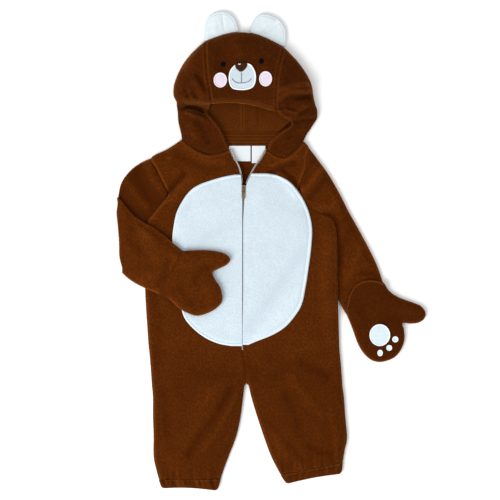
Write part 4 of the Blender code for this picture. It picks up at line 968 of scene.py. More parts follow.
LEFT_PALM = MITTEN_LEFT_ROUND + PALM_ARC
LEFT_BACK = MITTEN_LEFT_ROUND + WRIST_LINE
mitten_piece("mitten_right_palm_side", "mitten_right_palm", ["belly_right_half"],
             MITTEN_RIGHT, MITTEN_RIGHT_CENTRE, forearm_base, FLAT - GAP / 2, -1)
mitten_piece("mitten_right_back_side", "mitten_right_back", ["mitten_right_palm_side"],
             MITTEN_RIGHT, MITTEN_RIGHT_CENTRE, forearm_base, 6.9, 1, folds=BACK_CREASES)
mitten_piece("mitten_left_back_side", "mitten_left_back", ["table"],
             LEFT_BACK, MITTEN_LEFT_CENTRE, on_table, SEAM - GAP / 2, -1)
palm = mitten_piece("mitten_left_palm_side", "mitten_left_palm", ["mitten_left_back_side"],
                    LEFT_PALM, MITTEN_LEFT_CENTRE, on_table, 7.6, 1, folds=PALM_CREASES,
                    flap=[row[:2] for row in PALM_ARC])

# Paw print on the left palm: a pad and three toes of white fleece, each sewn down round its edge with close
# stitches.

# Each oval: its name, centre, half width and half height, points round it, rings, thickness, the cloth that lies
# under its stitches, and its thread's radius.
PAW_PRINT = [
    ("pad", 178.5, -139, 17, 18, 96, 16, 1.3, 0, 0.85),
    ("toe_1", 179, -168.5, 4.5, 5.4, 48, 10, 1.2, 0.6, 0.7),
    ("toe_2", 194, -160, 4.8, 4.8, 48, 10, 1.2, 0.6, 0.7),
    ("toe_3", 204, -146, 5.1, 5.1, 48, 10, 1.2, 0.6, 0.7),
]
THREAD_OUT = 0.1  # how far the middle of a thread lies above the cloth


def oval(x, y, half_width, half_height, count):
    turn = np.arange(count) * 2 * np.pi / count
    return np.stack([x + half_width * np.cos(turn), y + half_height * np.sin(turn)], 1)


def applique(name, outline, centre, beneath, thick, finish, count=10, edge=1.6, nap_tone_and_painted_light=0.0):
    """A flat shape sewn on a panel: its underside follows the panel and its edge is rolled over."""
    plan = rings_of(outline, centre, count)
    away = line_distance(plan, np.concatenate([outline, outline[:1]]))
    under = heights_on(beneath, plan, REACH) + GAP
    over = thick * (0.35 + 0.65 * rounded(away / edge))
    return disc(name, np.dstack([plan, under + over]), np.dstack([plan, under]), finish, np.full(over.shape, nap_tone_and_painted_light))


def satin_stitch(name, dark, light, spacing=(900.0, 120.0, 120.0), gloss=0.12):
    """Embroidery: close shiny threads side by side."""
    finish, shader = new_finish(name)
    nodes, links = nodes_of(finish)
    place = nodes.new("ShaderNodeTexCoord").outputs["Object"]
    threads = noise_of(finish, place, 1.6, 1.0, stretch=spacing)
    links.new(ramp_of(finish, threads, [(0.35, dark), (0.65, light)]), shader.inputs["Base Color"])
    shader.inputs["Roughness"].default_value = 0.38
    shader.inputs["Specular IOR Level"].default_value = gloss
    bumped(finish, threads, 0.7, 0.0004)
    return finish


def thread_line(name, points, beneath, radius, finish, slot="white_fleece", closed=False):
    """A line of embroidery laid on a surface: a round cord of thread, sunk into the cloth."""
    points = np.array(points, float)
    z = heights_on(beneath, points) + THREAD_OUT
    curve = bpy.data.curves.new(name, "CURVE")
    curve.dimensions = "3D"
    curve.bevel_depth = radius * MM
    curve.bevel_resolution = 3
    curve.use_fill_caps = True
    spline = curve.splines.new("POLY")
    spline.points.add(len(points) - 1)
    for knot, (x, y), height in zip(spline.points, points, z):
        knot.co = (x * MM, y * MM, height * MM, 1)
    spline.use_cyclic_u = closed
    line = placed(name, curve)
    mesh = bpy.data.meshes.new_from_object(line)
    bpy.data.objects.remove(line)
    bm = bmesh.new()
    bm.from_mesh(mesh)
    bmesh.ops.remove_doubles(bm, verts=bm.verts, dist=1e-6)
    return sewn_on(finish_mesh(name, bm, finish), slot)


white_thread = satin_stitch("white_thread", (0.78, 0.82, 0.85), (0.90, 0.93, 0.95), (300.0, 300.0, 300.0))


def inset_line(line, centre, by):
    """A line drawn in towards a centre by a distance."""
    line = np.array(line, float)
    return line + by * unit(np.array(centre, float) - line)


on_palm = surface_of([palm])
for part, x, y, wide, high, points, rings, thick, stitched, radius in PAW_PRINT:
    outline = oval(x, y, wide, high, points)
    patch = applique(f"paw_print_{part}", outline, (x, y), on_palm, thick, white_fleece, count=rings, nap_tone_and_painted_light=0.6)
    sewn_on(patch, "white_fleece", f"paw_{part}")
    thread_line(f"paw_print_{part}_edge", inset_line(outline, (x, y), 0.8), surface_of([palm, patch]), radius,
                white_thread, closed=True)

# Leg casings: the end of each leg is turned up over a narrow elastic, which gathers it into small puckers above
# and below the row of stitches.

# Each casing: its upper edge, on the leg, and its lower edge.
HEM_RIGHT = [[(-186.5, -378.6), (-83.6, -377.6)], [(-182, -392), (-89, -396)]]
HEM_LEFT = [[(118.3, -349.8), (15, -370.8)], [(116, -368), (24, -385)]]
HEM_HEIGHT = 4.2
HEM_STITCH = 0.12  # how far down the casing its stitches run, as a share


def casing(name, ends, seed, bow):
    columns, under_columns = 181, 61
    c = np.concatenate([np.linspace(0, 1, columns), np.linspace(1, 0, under_columns)[1:-1]])
    upper = np.arange(len(c)) < columns
    start = np.array(ends, float)
    rings, nap_tone_and_painted_light = [], []
    for t in np.linspace(0, 1, 21):
        a, b = between(*start, t)
        tuck = 2.6 * (1 - rounded((1 - t) / 0.35)) / np.linalg.norm(b - a)
        a, b = a + tuck * (b - a), b + tuck * (a - b)
        width = np.linalg.norm(b - a)
        near = np.minimum(c, 1 - c) * width
        body = HEM_HEIGHT * rounded(near / (ROUND * HEM_HEIGHT))
        gather = gathers(c * width, seed) * 1.4 * (1 - t**3) * smooth(near / 8) * upper
        puff = 1.7 * math.sin(math.pi * t) * smooth(near / 10) * upper
        stitched = -0.7 * bell(t - HEM_STITCH, 0.09) * smooth(near / 8) * upper
        z = HEM_HEIGHT + np.where(upper, 1, -1) * body + gather + puff + stitched
        plan = between(a, b, c[:, None])
        plan[:, 1] += bow * t * np.sin(math.pi * c)
        rings.append(np.column_stack([plan, z]))
        # Painted light: lighter on the gathers' ridges and darker between them, a painted highlight along the
        # casing's upper edge, and the whole casing a little darker.
        nap_tone_and_painted_light.append(0.16 * gather + 0.35 * bell(t, 0.12) * upper - 0.1)
    return tube(name, np.array(rings), np.array(nap_tone_and_painted_light))


hem_right = sewn_on(casing("hem_right_casing", HEM_RIGHT, 0.4, 2.4), "brown_fleece", "hem_right")
hem_left = sewn_on(casing("hem_left_casing", HEM_LEFT, 2.1, 1.8), "brown_fleece", "hem_left")

# Hood: a centre strip that runs from the brim over the crown and down the back of the head, and a side on each
# side of it. It lies face up with its sides folded in under the brim.

# Each row: the strip's edge on the wearer's right, its edge on the left, and how far the row bows up.
HOOD_CENTRE = [
    (-100, 241, 6, 229, 6), (-101, 254, 7, 249, 4), (-105, 278, 8, 278, 2), (-108, 305, 12, 302, 2),
    (-109, 326, 16, 320, 8), (-109, 340, 18, 331, 15), (-108.5, 346, 19, 336.5, 19.5),
    (-108, 343, 18.5, 333.5, 18), (-106, 332, 16, 323, 9), (-103, 290, 12, 290, 0), (-98, 232, 4, 232, 0),
    (-95, 180.2, 1, 178.8, -3.2),
]
CROWN = 6  # the row of the table that lies on the rim
HOOD_STEPS = 12  # rows of mesh to a row of the table
HOOD_EDGE = 6.0  # height of the rim
HOOD_ROUND = 46.0  # the hood has its full height no further in from the rim than this
BRIM_STITCH = 6.0  # from the brim to its row of stitches
HOOD_CREASE = 2.8
NECK_HEIGHT = 11.4
HOOD_LOW, HOOD_HIGH = 7.0, 32.0  # past these heights the cloth eases off
HOOD_HEIGHT = [(170, 11.6), (184, 12), (200, 14), (216, 16), (232, 18), (246, 33), (275, 33), (300, 32), (360, 30)]
# Each row: the front seam or the opening, the rim, the back seam, and the row's own height where it has one.
HOOD_SIDE_RIGHT = [
    (-109.4, 345.4, -113, 343.6, -108.8, 343, None), (-109.6, 326, -132, 326, -106.6, 331, None),
    (-108.6, 305, -148, 305, -104.6, 306, None), (-105.6, 278, -160, 278, -103, 282, None),
    (-101.6, 254, -162, 258, -100.8, 256, None), (-100.6, 243, -157, 246, -99.8, 243, None),
    (-102, 238, -156.5, 241, -99.3, 238, 17), (-104, 233, -156, 236, -99, 233, 10),
    (-104, 225, -155, 229, -98.2, 225, 15), (-93, 212, -154, 214, -97.2, 212, 15),
    (-83, 198, -151, 200, -96.3, 198, 13.5), (-76, 182, -149, 192, -95.9, 188, 12),
    (-70, 168.2, -148.3, 185.6, -95.6, 180.9, None),
]
HOOD_SIDE_LEFT = [
    (19.5, 336, 23, 333.8, 19.2, 333, None), (16.6, 319, 41, 315, 15.9, 319, None),
    (12.6, 302, 56, 295, 13.5, 300, None), (8.6, 278, 66, 275, 12.2, 278, None),
    (7.6, 250, 69.5, 254, 7.6, 250, None), (6.8, 236, 73, 240, 5.4, 238, None),
    (10, 229, 75.5, 233, 4.4, 232, None), (18, 220, 76, 224, 4.2, 225, 17),
    (30, 214, 75, 218, 3.8, 218, 10), (31, 206, 72, 213, 3.4, 208, 14.5),
    (14, 194, 65, 202, 2.6, 198, 14.5), (0, 182, 58, 192, 2.2, 188, 12),
    (-7, 168.2, 53.8, 182.6, 1.6, 179.5, None),
]
HOOD_CREASES = [
    (5, -4.4, [(-138, 239), (-126, 238), (-112, 230)]),
    (3.5, 1.6, [(-142, 248), (-126, 248), (-108, 243)]),
    (4, 1.5, [(-138, 228), (-126, 222), (-112, 216)]),
    (4, 2.2, [(12, 262), (34, 270), (58, 272)]),
    (4.5, -2.0, [(28, 242), (46, 250), (62, 250)]),
    (3, -0.9, [(10, 234), (24, 237), (32, 234)]),
    (3, 1.4, [(8, 228), (24, 232), (40, 226)]),
    (5, -1.6, [(-121, 287), (-114, 276), (-108, 266)]),
    (6, 1.2, [(-126, 276), (-118, 262), (-112, 250)]),
    (4, -1.0, [(-140, 262), (-134, 250)]),
    (4, -1.0, [(-128, 258), (-124, 247)]),
    (4, 0.9, [(-134, 262), (-129, 249)]),
    (3.6, 2.6, [(14, 250), (28, 259), (52, 262), (66, 261)]),
    (5, -1.8, [(16, 243), (34, 254), (60, 256)]),
    (4, -0.6, [(38, 232), (50, 242)]),
    (4, 1.2, [(42, 229), (54, 238)]),
    (4, -1.2, [(48, 226), (60, 234)]),
    (7, 1.0, [(-60, 342), (-50, 322)]),
    (9, -0.9, [(-88, 330), (-84, 300)]),
    (10, 0.9, [(-136, 300), (-128, 320)]),
    (9, -0.9, [(36, 300), (28, 274)]),
    (6, -1.0, [(-120, 215), (-108, 196), (-104, 182)]),
    (7, 0.9, [(-134, 210), (-126, 190)]),
    (6, -0.9, [(44, 208), (30, 190)]),
]
hood_fleece = fleece("hood_fleece", (0.034, 0.0068, 0.0006), (0.048, 0.0100, 0.0010), (0.082, 0.0185, 0.0022),
                     (0.55, 0.19, 0.04))


def strip_plan(rows, columns):
    across = shares(columns)[None, :, None]
    plan = between(rows[:, None, 0:2], rows[:, None, 2:4], across)
    plan[..., 1] += rows[:, 4, None] * np.sin(np.pi * across[..., 0])
    return plan


def mesh_rows(rows):
    return HOOD_STEPS * (len(rows) - 1) + 1


def hood_rim():
    """The outline of the hood in plan: right side, crown and left side."""
    right = refined([row[2:4] for row in HOOD_SIDE_RIGHT], 97)[::-1]
    left = refined([row[2:4] for row in HOOD_SIDE_LEFT], 97)
    crown = strip_plan(np.array(HOOD_CENTRE[CROWN:CROWN + 1], float), 41)[0]
    return np.concatenate([right, crown, left])


rim = hood_rim()


def hood_top(plan):
    """Height of the hood's upper cloth: a soft pillow inside its rim."""
    away = line_distance(plan, rim)
    full = np.interp(plan[..., 1], *zip(*HOOD_HEIGHT))
    reach = np.minimum(HOOD_ROUND, 1.6 * full)
    return HOOD_EDGE + (full - HOOD_EDGE) * rounded(away / reach)


def hood_centre():
    count = mesh_rows(HOOD_CENTRE)
    crown = HOOD_STEPS * CROWN
    plan = strip_plan(refined(HOOD_CENTRE, count), 73)
    z = hood_top(plan)
    turned = smooth(np.arange(count - crown) / HOOD_STEPS)
    z[crown:] = (HOOD_EDGE * (1 - rounded(turned)))[:, None]
    away = np.minimum(line_distance(plan, plan[:crown, 0]), line_distance(plan, plan[:crown, -1]))
    front = np.clip((crown - np.arange(count)) / 8, 0, 1)[:, None]
    shaped = HOOD_CREASE * creases(plan, HOOD_CREASES)
    folds = shaped + lumps(plan, 34, 1.0, 4.4) + lumps(plan, 13, 0.3, 9.0)
    folds += seam_relief(away, ridge=0.6)
    brim = line_distance(plan, plan[0])
    folds += 1.0 * bell(brim - 2.6, 1.6) - 1.0 * bell(brim - BRIM_STITCH, 1.2)
    folds -= 1.6 * (1 - rounded(brim / 2.4))
    z += folds * front
    grid = np.dstack([plan, z])
    found = normals(grid)
    if found[0, 36, 2] < 0:
        found = -found
    # Painted highlight beside the seams and along the brim, and painted highlight and shade on the creases; none on
    # the strip behind the crown.
    painted_light_and_tone = np.maximum(0.7 * seam_highlight_at(away), 0.8 * bell(brim - 3.0, 1.4))
    painted_light_and_tone = with_fold_shading(painted_light_and_tone, shaped, 0.08) * front
    return cloth("hood_centre_strip", grid, grid - CLOTH * found, hood_fleece, painted_light_and_tone=painted_light_and_tone)


def given_heights(rows, count):
    """The heights that a table gives for some rows, read between them, and how far they hold."""
    at = np.linspace(0, len(rows) - 1, count)
    holds = np.interp(at, np.arange(len(rows)), [row[-1] is not None for row in rows])[:, None]
    heights = np.interp(at, np.arange(len(rows)), [row[-1] or 0 for row in rows])[:, None]
    return holds, heights / np.maximum(holds, 1e-6)


def neck_row(grid, across, up):
    """Points of a front's neck edge, from its zip side to its shoulder side, moved up to the hood."""
    row = grid[0, ::-1, :2]
    share = np.sin(np.linspace(0, 1, across) * np.pi / 2)
    own = 1 - shares(len(row))[::-1]
    return np.stack([np.interp(share, own, row[:, k]) for k in (0, 1)], 1) + np.array([0, up])


def strip_edge(heights, side, front):
    """The x of the centre strip's edge at some heights in plan, on its front or its back, and just clear of it."""
    strip = refined(HOOD_CENTRE, mesh_rows(HOOD_CENTRE))
    strip = strip[HOOD_STEPS * CROWN::-1] if front else strip[HOOD_STEPS * CROWN + 1:]
    column = 0 if side < 0 else 2
    return np.interp(-heights, -strip[:, column + 1], strip[:, column]) + side * 0.12


def hood_side(name, rows, neck_grid, seed, side, across=56, under=20):
    """A side of the hood: from the front seam or opening, over the rim, and back under to the back seam."""
    count = mesh_rows(rows)
    fine = refined([row[:6] for row in rows], count)
    sewn_front = smooth((66 - np.arange(count)) / 6)
    fine[:, 0] += sewn_front * (strip_edge(fine[:, 1], side, True) - fine[:, 0])
    fine[:, 4] = strip_edge(fine[:, 5], side, False)
    share = np.sin(np.linspace(0, 1, across) * np.pi / 2)[None, :, None]
    top = between(fine[:, None, 0:2], fine[:, None, 2:4], share)
    neck = neck_row(neck_grid, across, 0.6)
    blend = smooth((np.arange(count) - (count - 7)) / 6)[:, None, None]
    top = between(top, neck + (top - top[-1]) * (1 - blend), blend)
    away = line_distance(top, rim)
    holds, height = given_heights(rows, count)
    folded = HOOD_EDGE + (height - HOOD_EDGE) * rounded(away / 16)
    z = between(hood_top(top), folded, holds)
    z[:, -1] = HOOD_EDGE
    z[-1] = np.minimum(z[-1], HOOD_EDGE + (NECK_HEIGHT - HOOD_EDGE) * rounded(away[-1] / 14))
    inside = smooth(away / 10)
    shaped = HOOD_CREASE * creases(top, HOOD_CREASES) * inside
    z += shaped + (lumps(top, 30, 0.9, seed) + lumps(top, 12, 0.3, seed + 3)) * inside
    opening = line_distance(top, top[count // 2:, 0])
    z -= 1.4 * (1 - rounded(opening / 2.2))
    z = np.where(z < HOOD_LOW, HOOD_LOW - 1.8 * (1 - np.exp((z - HOOD_LOW) / 1.8)), z)
    z = np.where(z > HOOD_HIGH, HOOD_HIGH + 4.5 * (1 - np.exp((HOOD_HIGH - z) / 4.5)), z)
    seam = line_distance(top, top[:count // 2 - 6, 0])
    z += seam_relief(seam, ridge=0.6) * inside
    z += seam_relief(line_distance(top, top[-1]), groove=1.2) * smooth(away / 6)
    back_share = (1 - np.cos(np.linspace(0, 1, under) * np.pi / 2))[1:][None, :, None]
    below = between(fine[:, None, 2:4], fine[:, None, 4:6], back_share)
    gone = np.linalg.norm(below - fine[:, None, 2:4], axis=-1)
    lower = HOOD_EDGE * (1 - rounded(gone / 8))
    grid = np.concatenate([np.dstack([top, z]), np.dstack([below, lower])], axis=1)
    found = normals(grid)
    if found[4, 10, 2] < 0:
        found = -found
    found[:, across - 1, 2] = 0
    found[:, across - 1] = unit(found[:, across - 1])
    # Painted highlight beside the front seam and along the opening, and painted highlight and shade on the creases,
    # on the upper cloth only.
    painted_light_and_tone = np.zeros(grid.shape[:2])
    painted_light_and_tone[:, :across] = np.maximum(0.7 * seam_highlight_at(seam), 0.8 * bell(opening - 2.6, 1.3))
    painted_light_and_tone[:, :across] = with_fold_shading(painted_light_and_tone[:, :across], shaped, 0.08)
    return cloth(name, grid, grid - CLOTH * found, hood_fleece, painted_light_and_tone=painted_light_and_tone)


centre_strip = sewn_on(hood_centre(), "brown_fleece", "hood_centre")
side_right = hood_side("hood_right_side", HOOD_SIDE_RIGHT, right_grid, 1.7, -1)
side_left = hood_side("hood_left_side", HOOD_SIDE_LEFT, left_grid, 6.3, 1)
sewn_on(side_right, "brown_fleece", "hood_side_right")
sewn_on(side_left, "brown_fleece", "hood_side_left")


# Inside of the hood: two halves of brown lining with a seam between them, a band over the neck seam, and two blank
# white labels folded into it.

CENTRE_BACK = -47.5
LINING_FOLD = -22.5
LEFT_WIDER, BAND_WIDER = 20, 28  # how much further out the lining and the band reach on the wearer's left
# Each row: y, the x where the piece stops showing on the right, and how much wider the left shows.
LINING = [(262, -98, 2), (245, -108, 12), (228, -104, 18), (212, -92, 12), (197, -84, 3)]
BAND = [(196.6, -83, 2), (185, -78, -3), (174.6, -72, -5)]
BAND_TOP, BAND_FOOT = BAND[0][0], BAND[-1][0]
LABELS = {"label_right": (-70, -34.5, 148, 173.6), "label_left": (-32.5, -10, 145, 173.6)}
lining_fleece = fleece("lining_fleece", (0.052, 0.0115, 0.0012), (0.074, 0.0175, 0.0018), (0.100, 0.0260, 0.0030),
                       (0.55, 0.20, 0.06), sheen=0.4, tufts=420.0, depth=0.0007)


def on_under(name, under, over, finish, painted_light_and_tone=None):
    return cloth(name, under + over[..., None] * np.array([0, 0, 1]), under, finish, painted_light_and_tone=painted_light_and_tone)


def outer_edge(rows, side, wider):
    """The x of a lining piece's outer edge at each row: under the hood's side by a little more than shows."""
    rows = np.array(rows, float)
    return rows[:, 1] - 7 if side < 0 else 2 * CENTRE_BACK - rows[:, 1] + rows[:, 2] + wider


def lining_half(name, side):
    fine = refined(LINING, 57)
    middle = CENTRE_BACK + side * GAP / 2
    share = np.linspace(0, 1, 49)
    plan = level_rows(between(middle, outer_edge(fine, side, LEFT_WIDER)[:, None], share), fine[:, 0])
    under = np.dstack([plan, np.repeat((CLOTH + GAP + 2.5 * share**3)[None], len(fine), axis=0)])
    from_seam, from_fold = np.abs(plan[..., 0] - middle), np.abs(plan[..., 0] - LINING_FOLD)
    ridge = 0.8 * bell(from_seam - 1.5, 1.5) - 0.5 * bell(from_fold, 1.3)
    over = np.maximum(1.6 + lumps(plan, 20, 0.5, side + 2.0) + ridge, 0.4)
    # The seam's ridge is painted lighter and the fold darker, as painted highlight and shade.
    return on_under(name, under, over, lining_fleece, 0.8 * ridge)


for word, side in (("right", -1), ("left", 1)):
    half = sewn_on(lining_half(f"hood_lining_{word}_half", side), "brown_lining", f"hood_lining_{word}")
    outer = list(zip(outer_edge(LINING, side, LEFT_WIDER), [row[0] for row in LINING]))

fine = refined(BAND, 41)
right_x, left_x = outer_edge(fine, -1, 0)[:, None], outer_edge(fine, 1, BAND_WIDER)[:, None]
plan = level_rows(between(right_x, left_x, np.linspace(0, 1, 81)), fine[:, 0])
from_edge = np.minimum(np.abs(plan[..., 1] - BAND_TOP), np.abs(plan[..., 1] - BAND_FOOT))
ribs = 0.35 * np.cos(2 * math.pi * (plan[..., 1] - BAND_FOOT) / 5.5)
over = 1.2 + 0.5 * rounded(from_edge / 3) + ribs
# The ribs are painted lighter on their tops and darker between them, as painted highlight and shade, and the band a
# little darker throughout.
band = on_under("neck_seam_band", np.dstack([plan, np.full(plan.shape[:2], CLOTH + GAP)]), over, lining_fleece,
                0.9 * ribs - 0.1)
sewn_on(band, "brown_lining", "neck_band")

label_satin, shader = new_finish("label_satin")
nodes, links = nodes_of(label_satin)
weave_and_painted_light = nodes.new("ShaderNodeAttribute")
weave_and_painted_light.attribute_name = "weave_and_painted_light"
threads = noise_of(label_satin, weave_and_painted_light.outputs["Vector"], 2.2, 2.0, stretch=(0.4, 3.0, 1))
links.new(ramp_of(label_satin, threads, [(0.3, (0.60, 0.65, 0.67)), (0.7, (0.70, 0.74, 0.76))]),
          shader.inputs["Base Color"])
shader.inputs["Roughness"].default_value = 0.42
bumped(label_satin, threads, 0.3, 0.0002)
for name, (left, right, low, high) in LABELS.items():
    plan = np.dstack(np.meshgrid(np.linspace(left, right, 41), np.linspace(high, low, 33)))
    under = np.dstack([plan, np.full(plan.shape[:2], CLOTH + GAP)])
    over = 0.8 + 0.25 * np.sin((plan[..., 0] - left) / 7) * np.sin((plan[..., 1] - low) / 9)
    made = sewn_on(on_under(f"blank_{name}", under, over, label_satin), "label_satin", name)

# Ears: a front and a back of white fleece each, sewn together round the edge and into the hood's seams at the
# crown. They lie flat beyond it.

EAR_RIGHT = [
    (-113, 346.3, 1), (-112.5, 357, 1), (-111, 370, 1), (-107, 383, 1), (-99, 391.5, 1), (-86, 396, 1),
    (-72, 394, 1), (-62, 386, 1), (-56, 374, 1), (-54.5, 361.7, 1), (-66, 360.4, 0), (-80, 357.2, 0),
    (-95, 352.1, 0), (-107, 347.3, 0),
]
EAR_LEFT = [
    (-35.5, 360.5, 1), (-33, 374, 1), (-26, 386, 1), (-15, 392, 1), (1, 389, 1), (14, 381, 1), (22.5, 369, 1),
    (25, 356, 1), (24.5, 345, 1), (22.5, 337, 1), (17, 338.6, 0), (8, 343.3, 0), (-8, 351.4, 0), (-22, 356.9, 0),
]
EAR_CREASES = [
    (2.2, -0.6, [(-81, 390), (-80, 376), (-78, 366)]),
    (4, -1.3, [(13, 380), (2, 370), (-10, 362)]),
    (6, 0.6, [(6, 384), (-8, 374)]),
    (6, 0.6, [(-92, 384), (-94, 366)]),
]
ear_fleece = fleece("ear_fleece", (0.57, 0.64, 0.67), (0.63, 0.705, 0.735), (0.69, 0.765, 0.79), (0.9, 0.96, 1.0),
                    sheen=0.12, tufts=420.0, depth=0.0007)
for word, points, centre in (("right", EAR_RIGHT, (-83, 374)), ("left", EAR_LEFT, (-6, 371))):
    for part, up, rise in (("back", -1, SEAM - GAP / 2), ("front", 1, 4.2)):
        outer, inner, _ = mitten_side(points, centre, on_table, rise, up, folds=EAR_CREASES, seam_in=4.2)
        made = sewn_on(disc(f"ear_{word}_{part}_piece", outer, inner, ear_fleece), "white_fleece",
                       f"ear_{word}_{part}")

# Face on the hood: a white muzzle, pink cheeks, black eyes and a brown nose, cut from felt and edged and filled
# with satin stitch, and a mouth in one line of grey-blue thread.

MUZZLE = [
    (-58, 305.5, 1), (-66.5, 297, 1), (-70, 286, 1), (-69.5, 275, 1), (-65, 266, 1), (-56, 263, 1), (-42, 263, 1),
    (-31, 267, 1), (-26.5, 276, 1), (-26, 288, 1), (-30, 299, 1), (-38, 306, 1),
]
MUZZLE_CENTRE = (-48, 284)
# Eyes and cheeks: centre, half width and half height.
EYES = {"eye_right": (-79.5, 305, 4.1, 4.5), "eye_left": (-17, 310, 4.1, 4.5)}
CHEEKS = {"cheek_right": (-84, 279, 11, 12.3), "cheek_left": (-10, 281, 10.6, 12.4)}
NOSE = [(-61, 306.5, 1), (-50, 308.5, 1), (-40, 306, 1), (-42.5, 298, 1), (-50.5, 292.5, 1), (-58.5, 298.5, 1)]
NOSE_CENTRE = (-50.5, 302)
MUZZLE_STITCH = 0.955  # the ring of stitches against the muzzle's outline
black_thread = satin_stitch("black_thread", (0.0008, 0.0008, 0.0008), (0.003, 0.003, 0.003), gloss=0.03)
nose_satin = satin_stitch("nose_satin", (0.028, 0.0075, 0.0022), (0.052, 0.016, 0.005), gloss=0.05)
pink_satin = satin_stitch("pink_satin", (0.62, 0.55, 0.66), (0.70, 0.63, 0.74))
mouth_thread = satin_stitch("mouth_thread", (0.16, 0.15, 0.16), (0.26, 0.25, 0.27), (300.0, 300.0, 300.0))
rim_thread = satin_stitch("rim_thread", (0.78, 0.66, 0.70), (0.86, 0.76, 0.79), (300.0, 300.0, 300.0))

on_hood = surface_of([centre_strip])
muzzle_outline, _ = closed_outline(MUZZLE, 144)
muzzle = applique("muzzle_patch", muzzle_outline, MUZZLE_CENTRE, on_hood, 1.6, white_fleece, count=20, edge=2.0)
sewn_on(muzzle, "white_fleece", "muzzle")
on_muzzle = surface_of([centre_strip, muzzle])
inset = between(np.array(MUZZLE_CENTRE), muzzle_outline, MUZZLE_STITCH)
thread_line("muzzle_edge_stitch", inset, on_muzzle, 1.15, white_thread, closed=True)
for name, (x, y, wide, high) in EYES.items():
    eye = applique(f"{name}_stitch", oval(x, y, wide, high, 48), (x, y), on_hood, 1.3, black_thread, edge=2.2)
    sewn_on(eye, "black_thread", name)
for name, (x, y, wide, high) in CHEEKS.items():
    cheek = applique(f"{name}_patch", oval(x, y, wide, high, 72), (x, y), on_hood, 1.3, pink_satin, count=12)
    sewn_on(cheek, "pink_satin", name)
    ring = oval(x, y, wide - 0.9, high - 0.9, 72)
    thread_line(f"{name}_edge_stitch", ring, surface_of([centre_strip, cheek]), 0.9, rim_thread,
                slot="pink_satin", closed=True)
nose_outline, _ = closed_outline(NOSE, 72)
nose = applique("nose_stitch", nose_outline, NOSE_CENTRE, on_muzzle, 1.4, nose_satin, count=12, edge=3.0)
sewn_on(nose, "nose_satin", "nose")
glint = [(-54.6, 305.2), (-52.6, 304.6), (-50.6, 305.2)]
thread_line("nose_glint_stitch", glint, surface_of([nose]), 0.7, white_thread)
down = [(-49.5, y) for y in np.linspace(291.0, 274.6, 18)]
smile = refined([(-64.4, 281.0), (-61.5, 277.2), (-56.0, 274.4), (-49.5, 274.2), (-43.0, 274.6), (-37.0, 277.2),
                 (-33.6, 281.0)], 49)
thread_line("mouth_line", down, on_muzzle, 0.75, mouth_thread)
thread_line("smile_line", smile, on_muzzle, 0.7, mouth_thread)

# Zip: a coil zip of dark bronze colour up the centre front, open for its last 80 mm. Its closed teeth lie between
# the two fronts, and its open rows run up the edges of the neck. The slider carries a plain pull tab on a loop.

CHAIN = [(-46.2, 101), (-46.3, 84), (-46.8, 60), (-47.4, 30), (-47.6, -20), (-47.8, -80), (-48.1, -128),
         (-48.2, -154), (-48.1, -163.5)]
CHAIN_TOP = 13.2
CHAIN_THICK = 2.4
TAPE_DOWN = 1.3  # how far the closed tape lies below the tops of its teeth
OPEN_FROM = 109  # the y above which the zip is open


def metal(name, dark, light, rough):
    finish, shader = new_finish(name)
    nodes, links = nodes_of(finish)
    place = nodes.new("ShaderNodeTexCoord").outputs["Object"]
    wear = noise_of(finish, place, 700.0, 3.0)
    links.new(ramp_of(finish, wear, [(0.35, dark), (0.65, light)]), shader.inputs["Base Color"])
    links.new(arithmetic(finish, "ADD", rough, arithmetic(finish, "MULTIPLY", wear, 0.2)),
              shader.inputs["Roughness"])
    shader.inputs["Metallic"].default_value = 1.0
    bumped(finish, wear, 0.2, 0.00008)
    return finish


bronze = metal("zip_bronze", (0.12, 0.08, 0.05), (0.30, 0.21, 0.13), 0.3)
teeth_bronze = metal("teeth_bronze", (0.50, 0.44, 0.40), (0.72, 0.65, 0.60), 0.4)
tape_cloth = fleece("zip_tape", (0.22, 0.19, 0.17), (0.30, 0.26, 0.24), (0.38, 0.34, 0.31), (0.5, 0.45, 0.4),
                    sheen=0.2, tufts=900.0, depth=0.0003)


def strip(name, line, half_width, top, thick):
    """A narrow flat strip along a line in plan, with its own height at each point."""
    side = side_normals(line, 1)[:, :2]
    offsets = np.array([-half_width, -half_width / 2, 0, half_width / 2, half_width])
    plan = line[:, None, :2] + offsets[None, :, None] * side[:, None]
    under = np.dstack([plan, np.repeat(top[:, None] - thick, len(offsets), axis=1)])
    return on_under(name, under, np.full(plan.shape[:2], thick), tape_cloth)


def lay(made, centre, angle, size):
    """Brings a new block or ball to its size, turns it in plan and sets it in its place."""
    for vert in made["verts"]:
        u, v, w = (a * b for a, b in zip(vert.co, size))
        vert.co = Vector((centre[0] + u * math.cos(angle) - v * math.sin(angle),
                          centre[1] + u * math.sin(angle) + v * math.cos(angle), centre[2] + w)) * MM


def tooth_row(name, line, top, pitch, size, sway):
    """Teeth at even steps along a line, alternating to its two sides. Each is a small block across the zip."""
    length = lengths(line[:, :2])
    side = side_normals(line, 1)[:, :2]
    bm = bmesh.new()
    for number, at in enumerate(np.arange(pitch, length[-1] - pitch / 2, pitch)):
        place = [np.interp(at, length, line[:, k]) for k in (0, 1)]
        out = [np.interp(at, length, side[:, k]) for k in (0, 1)]
        shift = sway * (1 if number % 2 else -1)
        centre = (place[0] + shift * out[0], place[1] + shift * out[1], np.interp(at, length, top) - size[2] / 2)
        lay(bmesh.ops.create_cube(bm, size=1), centre, math.atan2(-out[0], out[1]), size)
    return finish_mesh(name, bm, teeth_bronze)


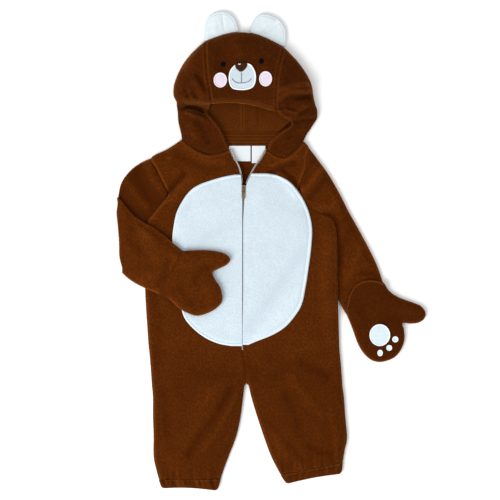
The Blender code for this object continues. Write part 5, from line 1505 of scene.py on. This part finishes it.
chain_line = refined(CHAIN, 120)
tape = strip("zip_closed_tape", chain_line, 1.5, np.full(len(chain_line), CHAIN_TOP - TAPE_DOWN),
             CHAIN_THICK - TAPE_DOWN)
sewn_on(tape, "zip_bronze", "zip_chain")
chain = tooth_row("zip_closed_teeth", chain_line, np.full(len(chain_line), CHAIN_TOP), 1.35, (0.8, 1.1, 1.2), 0.15)
sewn_on(chain, "zip_bronze")

for word, grid, side in (("right", right_grid, 1), ("left", left_grid, -1)):
    edge = grid[:, -1]
    edge = edge[edge[:, 1] > OPEN_FROM]
    away = side_normals(edge, side)[:, :2]
    middle = np.column_stack([edge[:, :2] + 2.1 * away, edge[:, 2] - GAP])
    open_tape = strip(f"zip_open_tape_{word}", middle, 1.3, middle[:, 2] - 0.7, 1.0)
    sewn_on(open_tape, "zip_bronze", f"zip_row_{word}")
    tooth_line = np.column_stack([edge[:, :2] + 2.9 * away, edge[:, 2]])
    row = tooth_row(f"zip_open_teeth_{word}", tooth_line, middle[:, 2] + 0.2, 2.1, (1.1, 1.9, 1.3), 0.0)
    sewn_on(row, "zip_bronze")

for name in ("zip_slider", "zip_pull"):
    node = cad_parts[name]
    node.data.materials.clear()
    node.data.materials.append(bronze)

# Stitching: one row of white thread inside the belly's edge, and rows of brown thread along the brim and at
# the top of the casings. Each stitch is a short rounded piece of thread.

brown_thread = satin_stitch("brown_thread", (0.12, 0.042, 0.010), (0.19, 0.07, 0.020), (300.0, 300.0, 300.0))


STITCH_LONG, STITCH_THICK = 2.6, 0.42
STITCH_STEP = 3.4  # from one stitch to the next


def stitches(name, line, beneath, finish, slot):
    """Stitches at even steps along a line in plan."""
    line = np.array(line, float)
    length = lengths(line)
    bm = bmesh.new()
    for at in np.arange(STITCH_STEP / 2, length[-1] - STITCH_STEP / 2, STITCH_STEP):
        start, end = (np.array([np.interp(at + along, length, line[:, k]) for k in (0, 1)])
                      for along in (-STITCH_LONG / 2, STITCH_LONG / 2))
        middle = (start + end) / 2
        made = bmesh.ops.create_uvsphere(bm, u_segments=6, v_segments=4, radius=1)
        lay(made, (*middle, top_at(beneath, *middle)), math.atan2(*(end - start)[::-1]),
            (STITCH_LONG / 2, STITCH_THICK, STITCH_THICK))
    sewn_on(finish_mesh(name, bm, finish), slot)


for word, edge, half, centre in (("right", belly_edge_right, belly_right, (-60, -15)),
                                 ("left", belly_edge_left, belly_left, (-35, -15))):
    stitches(f"belly_{word}_stitches", inset_line(edge, centre, STITCH_IN + 0.2), surface_of([half]),
             white_thread, "white_fleece")

brim_line = strip_plan(np.array(HOOD_CENTRE[:1], float), 41)[0] + (0, BRIM_STITCH)
stitches("brim_stitches", brim_line, surface_of([centre_strip]), brown_thread, "brown_fleece")
for word, ends, casing_piece in (("right", HEM_RIGHT, hem_right), ("left", HEM_LEFT, hem_left)):
    upper_edge, lower_edge = np.array(ends, float)
    line = between(upper_edge, lower_edge, HEM_STITCH)
    stitches(f"hem_{word}_stitches", [between(*line, 0.05), between(*line, 0.95)], surface_of([casing_piece]),
             brown_thread, "brown_fleece")
